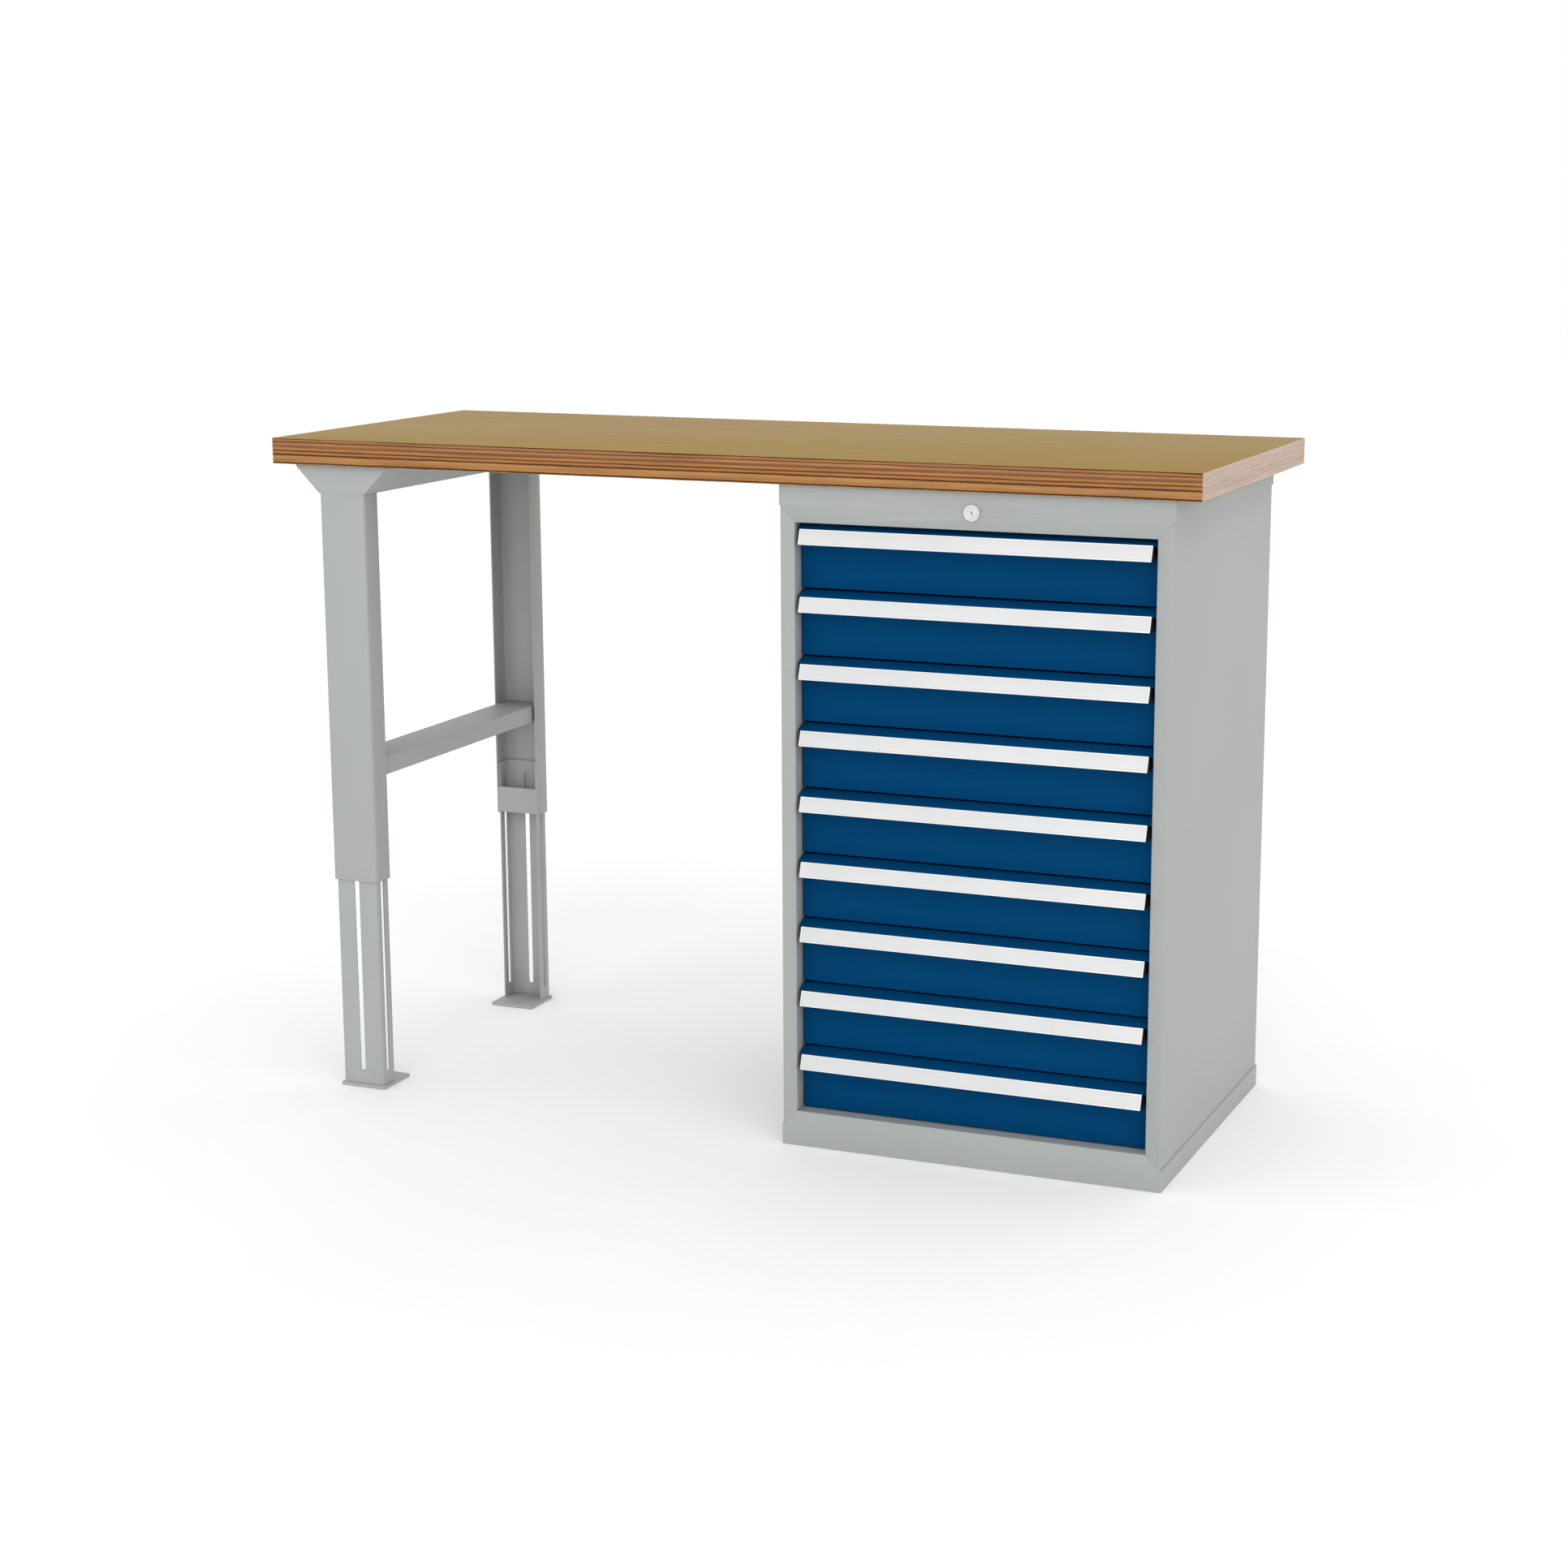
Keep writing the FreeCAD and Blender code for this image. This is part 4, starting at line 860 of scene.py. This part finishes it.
def faces_outwards(piece, level, hand):
    """Whether the upright faces at a level of X look to the given hand."""
    at_level = [face for face in piece.data.polygons if abs(face.center.x - level) < NEAR]
    return max(at_level, key=lambda face: face.area).normal.x * hand > 0


class BENCH_OT_base(bpy.types.Operator):
    """Models the cabinet's plinth, with its floor flanges and the deck under the drawers"""

    bl_idname = "bench.base"
    bl_label = "Cabinet Base"

    def execute(self, context):
        sizes = context.scene.bench_case
        sheet, flange = sizes.band_sheet, sizes.floor_flange
        above = sizes.bottom_band + sheet
        heights = (BASE_LOW.z, sizes.bottom_band, BASE_LOW.z + sheet, above)
        plinth = band_ring("cabinet_plinth", *heights, sizes)
        opening = bar(
            "floor_opening",
            (BASE_LOW.x + flange, BASE_LOW.y + flange, BASE_LOW.z - sheet),
            (BASE_HIGH.x - flange, BASE_HIGH.y - flange, BASE_LOW.z + 2 * sheet),
        )
        cut_away(plinth, opening)
        clear = sheet + sizes.wall_sheet
        deck = bar(
            "deck",
            (BASE_LOW.x + clear, BASE_LOW.y + sizes.stile_depth - sheet / 2, BASE_HIGH.z - sheet),
            (BASE_HIGH.x - clear, BASE_HIGH.y - clear - sizes.seam, BASE_HIGH.z),
        )
        fuse(
            plinth,
            frame_rail(sizes.bottom_band, BASE_HIGH.z, sizes),
            rail_return(BASE_HIGH.z, 1, sizes),
            deck,
        )
        soften(plinth, sizes.edge_break)
        paint_grey(plinth, "cabinet_base")
        return {"FINISHED"}


class BENCH_OT_cap(bpy.types.Operator):
    """Models the cabinet's top plate, band and head panel with the lock's hole"""

    bl_idname = "bench.cap"
    bl_label = "Cabinet Cap"

    def execute(self, context):
        sizes = context.scene.bench_case
        band_edge = CAP_HIGH.z - sizes.top_band
        below = band_edge - sizes.band_sheet
        heights = (band_edge, CAP_HIGH.z, below, CAP_HIGH.z - sizes.band_sheet)
        head = band_ring("cabinet_head", *heights, sizes)
        fuse(head, frame_rail(band_edge, CAP_LOW.z, sizes), rail_return(CAP_LOW.z, -1, sizes))
        centre = (ROSE_LOW + ROSE_HIGH) / 2
        radius = (ROSE_HIGH.x - ROSE_LOW.x) / 2 - sizes.rose_cover
        depth = sizes.stile_depth
        start = (centre.x, CAP_LOW.y - depth / 2, centre.z)
        cut_away(head, disc("lock_hole", "Y", start, radius, depth))
        soften(head, sizes.edge_break)
        paint_grey(head, "cabinet_cap")
        return {"FINISHED"}


def side_wall(name, hand, sizes):
    """Stile, wall and rear flange of one side as one folded sheet. Hand: -1 left, 1 right."""
    half = (BASE_HIGH.x - BASE_LOW.x) / 2
    outer = CASE_CENTRE + hand * (half - sizes.band_sheet)
    opening = CASE_CENTRE + hand * (half - sizes.stile)
    front, back = BASE_LOW.y, BASE_HIGH.y - sizes.band_sheet
    low, high = BASE_LOW.z + sizes.band_sheet, CAP_HIGH.z - sizes.band_sheet
    step = sizes.band_sheet + sizes.seam
    stile = [(opening, front + sizes.stile_depth), (opening, front), (outer, front)]
    wall = sheet_line(name, "Z", low, high, stile)
    band_low = sizes.bottom_band + sizes.seam
    band_high = CAP_HIGH.z - sizes.top_band - sizes.seam
    mitres = ((band_low, BASE_HIGH.z + sizes.seam, 1), (band_high, CAP_LOW.z - sizes.seam, -1))
    for band_edge, opening_edge, way in mitres:
        run = Vector((opening - outer, 0, opening_edge - band_edge))
        across = Vector((-run.z, 0, run.x))
        if across.z * way < 0:
            across.negate()
        choose(wall, "faces", lambda middle, normal: True)
        bpy.ops.mesh.bisect(plane_co=(outer, 0, band_edge), plane_no=across, clear_inner=True)
        stop_editing()
    choose(wall, "edges", lambda middle, way: abs(middle.x - outer) < NEAR and upright(middle, way))
    pull((0, step, 0))
    pull((0, back - front - step, 0))
    pull((-hand * sizes.rear_flange, 0, 0))
    for edge, reach in ((band_low, low), (band_high, high)):
        wall_start = front + step
        choose(
            wall, "edges", lambda middle, way: abs(middle.z - edge) < NEAR and middle.y > wall_start
        )
        pull((0, 0, reach - edge))
    square_up()
    inwards = faces_outwards(wall, outer, hand)
    bend_folds(wall, sizes.bend, 3, 30)
    thicken(wall, sizes.wall_sheet, inwards)
    return wall


class BENCH_OT_sides(bpy.types.Operator):
    """Models the two side walls with their stiles, and the lock tabs' slots in the right one"""

    bl_idname = "bench.sides"
    bl_label = "Cabinet Sides"

    def execute(self, context):
        sizes = context.scene.bench_case
        left = side_wall("cabinet_wall_left", -1, sizes)
        right = side_wall("cabinet_wall_right", 1, sizes)
        bar_low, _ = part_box("lock_bar")
        stile_x = BASE_HIGH.x - sizes.stile
        room = sizes.tab_room
        for number in reversed(DRAWERS):
            foot = bar_low.z + (max(DRAWERS) - number) * DRAWER_PITCH - room
            low = (stile_x - room, bar_low.y - room, foot)
            high = (
                stile_x + 2 * room,
                bar_low.y + sizes.tab_depth + room,
                foot + sizes.tab_height + 2 * room,
            )
            cut_away(right, bar("tab_slot", low, high))
        for wall, node in ((left, "cabinet_left_side"), (right, "cabinet_right_side")):
            soften(wall, sizes.edge_break)
            paint_grey(wall, node)
        return {"FINISHED"}


# ---------------------------------------------------------------- drawers
def grip_place(sizes, along, proud):
    """A point on the grip's sloping face of drawer 1: so far down from its top, so far in front."""
    face = BASE_LOW.y + sizes.recess
    place_top = FRONT_HIGH.z + HALF_GAP
    upper = Vector((face - sizes.grip_top, place_top - sizes.grip_drop))
    lower = Vector((face - sizes.grip_bottom, place_top - sizes.grip_drop - sizes.grip_height))
    run = (lower - upper).normalized()
    out = Vector((run.y, -run.x))
    if out.x > 0:
        out = -out
    place = upper + run * along + out * proud
    return (place.x, place.y)


def grip_ends(sizes):
    """Left and right end of the grip, between its end caps."""
    margin = sizes.inset + sizes.cap
    return FRONT_LOW.x + margin, FRONT_HIGH.x - margin


def grip_length(sizes):
    """Length of the grip's sloping face."""
    return math.hypot(sizes.grip_height, sizes.grip_bottom - sizes.grip_top)


def front_pan(sizes):
    """The blue front: a pan with rounded corners, and its sloping lip."""
    pan = bar("front_pan", FRONT_LOW, FRONT_HIGH)
    face = BASE_LOW.y + sizes.recess
    choose(pan, "verts", lambda place: place.y < face)
    bpy.ops.transform.translate(value=(0, face - FRONT_LOW.y, 0))
    open_side(pan, lambda middle, normal: normal.y > 0.9)
    round_edges(pan, lambda middle, way: abs(way.y) > 0.9, sizes.corner)
    bend_folds(pan, sizes.fold, 3, 50)
    thicken(pan, sizes.sheet)
    top = FRONT_HIGH.z
    nose, root = face - sizes.lip_reach, face + sizes.lip_root
    outline = [
        (root, top - sizes.break_edge),
        (nose, top - sizes.lip_fall),
        (root, top - sizes.lip_fall - sizes.lip_under),
    ]
    lip = slab("front_lip", "X", FRONT_LOW.x, FRONT_HIGH.x, outline)
    at_nose = lambda middle, way: abs(way.x) > 0.9 and abs(middle.y - nose) < 1e-4
    round_edges(lip, at_nose, sizes.nose)
    soften(pan, FINE_BREAK)
    soften(lip, FINE_BREAK)
    return weld("front_pan", pan, lip)


def grip_profile(sizes):
    """The aluminium grip with rims on all four sides of the label strip's bed."""
    left, right = grip_ends(sizes)
    face = BASE_LOW.y + sizes.recess
    foot = FRONT_HIGH.z - sizes.lip_fall - sizes.lip_under - sizes.grip_sheet
    length = grip_length(sizes)
    points = [
        (face - sizes.break_edge, foot - sizes.grip_leg),
        (face - sizes.break_edge, foot),
        grip_place(sizes, 0, 0),
        grip_place(sizes, length, 0),
    ]
    grip = fold("grip_strip", "X", left, right, points, sizes.grip_sheet, sizes.fold)
    rims = []
    for start, end in ((0, sizes.rim), (length - sizes.rim, length)):
        rims.append(ledge(sizes, start, end, left, right))
    tucked = sizes.rim * RIM_TUCK
    for side, far in ((left, left + sizes.rim), (right - sizes.rim, right)):
        rims.append(ledge(sizes, tucked, length - tucked, side, far))
    for piece in [grip] + rims:
        soften(piece, sizes.break_edge)
    return weld("grip_strip", grip, *rims)


def ledge(sizes, start, end, left, right, sunk=-0.0015, proud=None):
    """A raised strip on the grip's face."""
    proud = sizes.rim_proud if proud is None else proud
    outline = [
        grip_place(sizes, start, sunk),
        grip_place(sizes, end, sunk),
        grip_place(sizes, end, proud),
        grip_place(sizes, start, proud),
    ]
    return slab("grip_ledge", "X", left, right, outline)


def label_film(sizes):
    """The label strip between the rims."""
    left, right = grip_ends(sizes)
    gap = sizes.rim + sizes.label_gap
    ends = (left + gap, right - gap)
    film = ledge(sizes, gap, grip_length(sizes) - gap, *ends, sizes.label_gap / 2, sizes.label)
    soften(film, sizes.break_edge)
    film.name = film.data.name = "label_strip"
    return film


def end_cap(name, left, right, sizes):
    """A black end cap over the end of the grip, under the lip."""
    face = BASE_LOW.y + sizes.recess
    length = grip_length(sizes)
    top = FRONT_HIGH.z + HALF_GAP - sizes.grip_drop
    margin, fit = sizes.cap_margin, sizes.break_edge / 2
    outline = [
        (face - fit, FRONT_HIGH.z - sizes.lip_fall - sizes.lip_under - 2 * fit),
        grip_place(sizes, 0, -sizes.grip_sheet),
        grip_place(sizes, -margin, sizes.rim_proud),
        grip_place(sizes, length + margin, sizes.rim_proud),
        (face - sizes.grip_bottom + sizes.grip_sheet, top - sizes.grip_height - margin),
        (face - fit, top - sizes.grip_height + margin),
    ]
    cap = slab(name, "X", left, right, outline)
    in_front = lambda middle, way: abs(way.x) > 0.9 and middle.y < face - sizes.grip_top
    round_edges(cap, in_front, sizes.cap / 2, 3)
    return soften(cap, sizes.break_edge)


def tray(sizes):
    """Sheet tray with rounded corners and its two drawer rails."""
    place_low = FRONT_LOW.z - HALF_GAP
    place_high = FRONT_HIGH.z + HALF_GAP
    low = Vector((TRAY_LOW.x + sizes.rail_reach, TRAY_LOW.y, place_low + sizes.floor_rise))
    high = Vector((TRAY_HIGH.x - sizes.rail_reach, TRAY_HIGH.y, place_high - sizes.headroom))
    box = bar("drawer_tray", low, high)
    open_side(box, lambda middle, normal: normal.z > 0.9)
    bend_folds(box, sizes.tray_fold, 4, 50)
    thicken(box, sizes.sheet)
    soften(box)
    middle = place_low + sizes.rail_rise
    half = sizes.rail_height / 2
    start = BASE_LOW.y + sizes.recess + sizes.sheet + sizes.rail_start
    rails = []
    for web, way in ((low.x, -1), (high.x, 1)):
        lips = web + way * sizes.rail_reach
        points = [
            (lips, middle + way * half),
            (web, middle + way * half),
            (web, middle - way * half),
            (lips, middle - way * half),
        ]
        rail = fold("drawer_rail", "Y", start, high.y, points, sizes.sheet, sizes.rail_fold)
        rails.append(soften(rail))
    return box, weld("drawer_rails", *rails)


class BENCH_OT_drawers(bpy.types.Operator):
    """Models one drawer, with its grip, tray and rails, and copies it to every place"""

    bl_idname = "bench.drawers"
    bl_label = "Drawers"

    def execute(self, context):
        sizes = context.scene.bench_drawer
        box, rails = tray(sizes)
        left, right = grip_ends(sizes)
        models = {
            "front": (front_pan(sizes), "blue_powder_coat", "blue_paint"),
            "grip": (grip_profile(sizes), "drawn_aluminium", "aluminium"),
            "label": (label_film(sizes), "label_film", "label_strip"),
        }
        for side, start in (("left", left - sizes.cap), ("right", right)):
            cap = end_cap(f"cap_{side}", start, start + sizes.cap, sizes)
            models[f"cap_{side}"] = (cap, "black_plastic", "black_plastic")
        models["box"] = (box, "grey_powder_coat", "grey_paint")
        models["rails"] = (rails, "zinc_plate", "steel")
        stands_for = {"front": "front", "grip": "handle", "box": "tray"}
        for number in DRAWERS:
            move = (0, 0, -DRAWER_PITCH * (number - 1))
            for part, (model, material, slot) in models.items():
                piece = copy_of(model, f"drawer_{number}_{part}_looks", move)
                nodes = [f"drawer_{number}_{stands_for[part]}"] if part in stands_for else []
                hand_over(piece, f"drawer_{number}", slot, [material], *nodes)
        for model, _, _ in models.values():
            bpy.data.objects.remove(model, do_unlink=True)
        return {"FINISHED"}


# ---------------------------------------------------------------- lock
class BENCH_OT_lock(bpy.types.Operator):
    """Models the lock's rosette and its turning plug with the keyhole"""

    bl_idname = "bench.lock"
    bl_label = "Lock"

    def execute(self, context):
        sizes = context.scene.bench_lock
        x, _, z = (ROSE_LOW + ROSE_HIGH) / 2
        front, face, back = ROSE_LOW.y, BASE_LOW.y, ROSE_HIGH.y
        radius = (ROSE_HIGH.x - ROSE_LOW.x) / 2
        plug_radius = (PLUG_HIGH.x - PLUG_LOW.x) / 2
        rose = disc("lock_rosette", "Y", (x, front, z), radius, face - front, 64)
        choose(rose, "faces", lambda middle, normal: normal.y < -0.9)
        bpy.ops.mesh.inset(thickness=sizes.rim, depth=0)
        pull((0, sizes.dish, 0))
        square_up()
        barrel_radius, length = radius - sizes.shoulder, back - face
        fuse(rose, disc("lock_barrel", "Y", (x, face - SUNK, z), barrel_radius, length))
        bore_radius = plug_radius + sizes.plug_room
        way = back - front + 2 * PAST
        cut_away(rose, disc("plug_bore", "Y", (x, front - PAST, z), bore_radius, way, 64))
        soften(rose, FINE_BREAK)
        hand_over(rose, "bench", "nickel", ["satin_nickel"], "lock_housing")
        plug_front, plug_back = PLUG_LOW.y, PLUG_HIGH.y
        plug = disc("lock_plug", "Y", (x, plug_front, z), plug_radius, plug_back - plug_front, 64)
        half_wide, half_high = sizes.keyway_width / 2, sizes.keyway_height / 2
        low = (x - half_wide, plug_front - PAST, z - half_high)
        high = (x + half_wide, plug_front + sizes.keyway_depth, z + half_high)
        take_up(bar("keyway", low, high))
        turn = sizes.key_turn
        bpy.ops.transform.rotate(value=turn, orient_axis="Y", center_override=(x, front, z))
        cut_away(plug, settle("keyway"))
        soften(plug)
        hand_over(plug, "lock_turning", "nickel", ["satin_nickel"], "lock_cylinder")
        return {"FINISHED"}


# ---------------------------------------------------------------- leg frame
def leg_channel(name, low, high, sizes):
    """An upright U profile, open to the back."""
    points = [(low.x, high.y), (low.x, low.y), (high.x, low.y), (high.x, high.y)]
    return fold(name, "Z", low.z, high.z, points, sizes.sheet, sizes.bend)


class BENCH_OT_legs(bpy.types.Operator):
    """Models the outer and the slotted inner profiles, the foot plates and the straps"""

    bl_idname = "bench.legs"
    bl_label = "Legs"

    def execute(self, context):
        sizes = context.scene.bench_leg
        outer = leg_channel("leg_outer_front", OUTER_LOW, OUTER_HIGH, sizes)
        middle = (OUTER_LOW.y + OUTER_HIGH.y) / 2
        bolt_low, bolt_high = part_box("leg_clamp_bolts")
        for height in (bolt_low.z + sizes.bolt_head, bolt_high.z - sizes.bolt_head):
            start = (OUTER_LOW.x - 2 * PAST, middle, height)
            cut_away(outer, disc("bolt_hole", "X", start, sizes.bolt_hole, 4 * PAST, 24))
        inner = leg_channel("leg_inner_front", INNER_LOW, INNER_HIGH, sizes)
        foot, head = sizes.slot_foot, INNER_HIGH.z - sizes.slot_head
        half, past = sizes.slot / 2, 2 * PAST
        left, right, front = INNER_LOW.x, INNER_HIGH.x, INNER_LOW.y
        web = ((LEG_CENTRE - half, front - past, foot), (LEG_CENTRE + half, front + past, head))
        flanges = ((left - past, middle - half, foot), (right + past, middle + half, head))
        for axis, ends in (("Y", web), ("X", flanges)):
            cut_away(inner, round_slot(axis, *ends))
        plate = bar("leg_foot_front", FOOT_LOW, FOOT_HIGH)
        round_edges(plate, upright, sizes.foot_corner, 3)
        low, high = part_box("leg_straps")
        strap_front = OUTER_HIGH.y - sizes.sheet
        strap = bar("leg_strap_front", (low.x, strap_front, low.z), (high.x, OUTER_HIGH.y, high.z))
        twins = {
            "outer": (outer, LEG_BREAK, "bench", "{}_leg_outer"),
            "inner": (inner, LEG_BREAK, "{}_leg_foot", "{}_leg_inner"),
            "foot": (plate, PLATE_BREAK, "{}_leg_foot", "{}_foot_plate"),
            "strap": (strap, LEG_BREAK, "bench", "leg_straps"),
        }
        for part, (front, width, body, node) in twins.items():
            soften(front, width)
            back = shade(front_to_back(front, f"leg_{part}_back"))
            for side, piece in (("front", front), ("back", back)):
                paint_grey(piece, node.format(side), body=body.format(side))
        return {"FINISHED"}


def round_beam(piece, sizes):
    """Rounds the beam's sharp upper and blunt lower corners to one radius."""
    for height, corner in ((BEAM_HIGH.z, 45), (BEAM_LOW.z, 135)):

        def outer_corner(middle, way):
            beside = abs(middle.x - LEG_CENTRE) > sizes.flange_edge + 1e-3
            return beside and abs(way.y) > 0.9 and abs(middle.z - height) < NEAR

        reach = sizes.beam_bend / math.tan(math.radians(corner) / 2)
        round_edges(piece, outer_corner, reach, 5)


class BENCH_OT_beam(bpy.types.Operator):
    """Models the trapezoid beam under the worktop, its end plates and the crossbar"""

    bl_idname = "bench.beam"
    bl_label = "Beam and Crossbar"

    def execute(self, context):
        sizes = context.scene.bench_leg
        half_leg = (OUTER_HIGH.x - OUTER_LOW.x) / 2
        wide, flange_edge = sizes.beam_width / 2, sizes.flange_edge
        top, bottom = BEAM_HIGH.z, BEAM_LOW.z
        halves = [(flange_edge, top), (wide, top), (half_leg, bottom)]
        points = [(LEG_CENTRE - reach, height) for reach, height in halves]
        points += [(LEG_CENTRE + reach, height) for reach, height in reversed(halves)]
        beam = sheet_line("beam_channel", "Y", BEAM_LOW.y, BEAM_HIGH.y, points)
        inwards = thickness_side(beam, "Y", points)
        round_beam(beam, sizes)
        thicken(beam, sizes.sheet, inwards)
        paint_grey(soften(beam), "top_beam")
        plate = slab("beam_end_front", "Y", OUTER_LOW.y, OUTER_LOW.y + sizes.sheet, points[1:5])
        round_beam(plate, sizes)
        soften(plate, LEG_BREAK)
        for piece in (plate, shade(front_to_back(plate, "beam_end_back"))):
            paint_grey(piece, "beam_end_plates")
        (left, front, low), (right, back, high) = CROSS_LOW, CROSS_HIGH
        outline = [(left, low), (right, low), (right, high), (left, high), (left, low)]
        size = (sizes.tube, sizes.tube_bend)
        tube = fold("leg_cross_tube", "Y", front, back, outline, *size, closed=True)
        paint_grey(soften(tube), "leg_crossbar")
        return {"FINISHED"}


# ---------------------------------------------------------------- parts that keep their frame mesh
class BENCH_OT_metalwork(bpy.types.Operator):
    """Gives the runners, posts, rear panel, lock rod and fasteners their finishes"""

    bl_idname = "bench.metalwork"
    bl_label = "Metalwork Finishes"

    def execute(self, context):
        plated = ["worktop_screws", "cabinet_runners", "lock_cam", "lock_bar", "leg_clamp_bolts"]
        plated += [f"drawer_{number}_slides" for number in DRAWERS]
        painted = ["cabinet_back_panel", "runner_posts"]
        for material, names in (("zinc_plate", plated), ("grey_powder_coat", painted)):
            for name in names:
                dress(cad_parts[name], material)
        return {"FINISHED"}


# ---------------------------------------------------------------- stage
class BENCH_OT_stage(bpy.types.Operator):
    """Sets the pale floor, the soft light and the camera"""

    bl_idname = "bench.stage"
    bl_label = "Stage"

    def execute(self, context):
        look = context.scene.bench_stage
        lay_down()
        bpy.ops.mesh.primitive_plane_add(size=look.floor, location=(0, 0, -look.floor_drop))
        floor = settle("studio_floor")
        bpy.ops.object.mode_set(mode="EDIT")
        bpy.ops.mesh.select_all(action="SELECT")
        bpy.ops.mesh.subdivide(number_cuts=look.segments)
        stop_editing()
        dress(floor, "studio_floor")
        world = context.scene.world or bpy.data.worlds.new("studio")
        context.scene.world = world
        world.use_nodes = True
        sky = world.node_tree.nodes["Background"]
        sky.inputs["Color"].default_value = (1, 1, 1, 1)
        sky.inputs["Strength"].default_value = look.sky
        tilt = math.pi / 2
        turned = (tilt - look.key_rise, 0, look.key_turn)
        bpy.ops.object.light_add(type="SUN", location=(2, -2, 3), rotation=turned)
        key = context.object
        key.name = key.data.name = "soft_key"
        key.data.energy = look.key
        key.data.angle = look.key_spread
        bpy.ops.object.camera_add(location=look.place, rotation=(tilt - look.dip, 0, look.turn))
        camera = context.object
        camera.name = camera.data.name = "studio_camera"
        camera.data.lens = look.lens
        camera.data.sensor_width = 36
        camera.data.shift_x = look.shift
        camera.data.dof.use_dof = False
        context.scene.camera = camera
        context.scene.view_settings.view_transform = "Standard"
        return {"FINISHED"}


class BENCH_PT_panel(bpy.types.Panel):
    """Lists the steps and the sizes of the workbench"""

    bl_label = "Workbench"
    bl_idname = "BENCH_PT_panel"
    bl_space_type = "VIEW_3D"
    bl_region_type = "UI"
    bl_category = "Workbench"

    def draw(self, context):
        for step in STEPS:
            self.layout.operator(step.bl_idname)
        for group in GROUPS:
            box = self.layout.box()
            box.label(text=group.replace("_", " ").title())
            for name in GROUPS[group].__annotations__:
                box.prop(getattr(context.scene, group), name)


STEPS = (
    BENCH_OT_worktop,
    BENCH_OT_base,
    BENCH_OT_cap,
    BENCH_OT_sides,
    BENCH_OT_drawers,
    BENCH_OT_lock,
    BENCH_OT_legs,
    BENCH_OT_beam,
    BENCH_OT_metalwork,
    BENCH_OT_stage,
)
GROUPS = {
    "bench_colours": BenchColours,
    "bench_board": BoardSizes,
    "bench_case": CaseSizes,
    "bench_drawer": DrawerSizes,
    "bench_lock": LockSizes,
    "bench_leg": LegSizes,
    "bench_stage": StageLook,
}


def register():
    """Registers the settings, the steps and the panel."""
    for group in GROUPS.values():
        bpy.utils.register_class(group)
    for step in STEPS + (BENCH_PT_panel,):
        bpy.utils.register_class(step)
    for name, group in GROUPS.items():
        setattr(bpy.types.Scene, name, PointerProperty(type=group))


def unregister():
    """Takes all of it away again."""
    for name in GROUPS:
        delattr(bpy.types.Scene, name)
    for step in (BENCH_PT_panel,) + STEPS[::-1]:
        bpy.utils.unregister_class(step)
    for group in reversed(GROUPS.values()):
        bpy.utils.unregister_class(group)


def main():
    """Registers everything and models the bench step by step."""
    register()
    bpy.ops.bench.worktop()
    bpy.ops.bench.base()
    bpy.ops.bench.cap()
    bpy.ops.bench.sides()
    bpy.ops.bench.drawers()
    bpy.ops.bench.lock()
    bpy.ops.bench.legs()
    bpy.ops.bench.beam()
    bpy.ops.bench.metalwork()
    bpy.ops.bench.stage()
    bpy.context.view_layer.update()


if __name__ == "__main__":
    main()
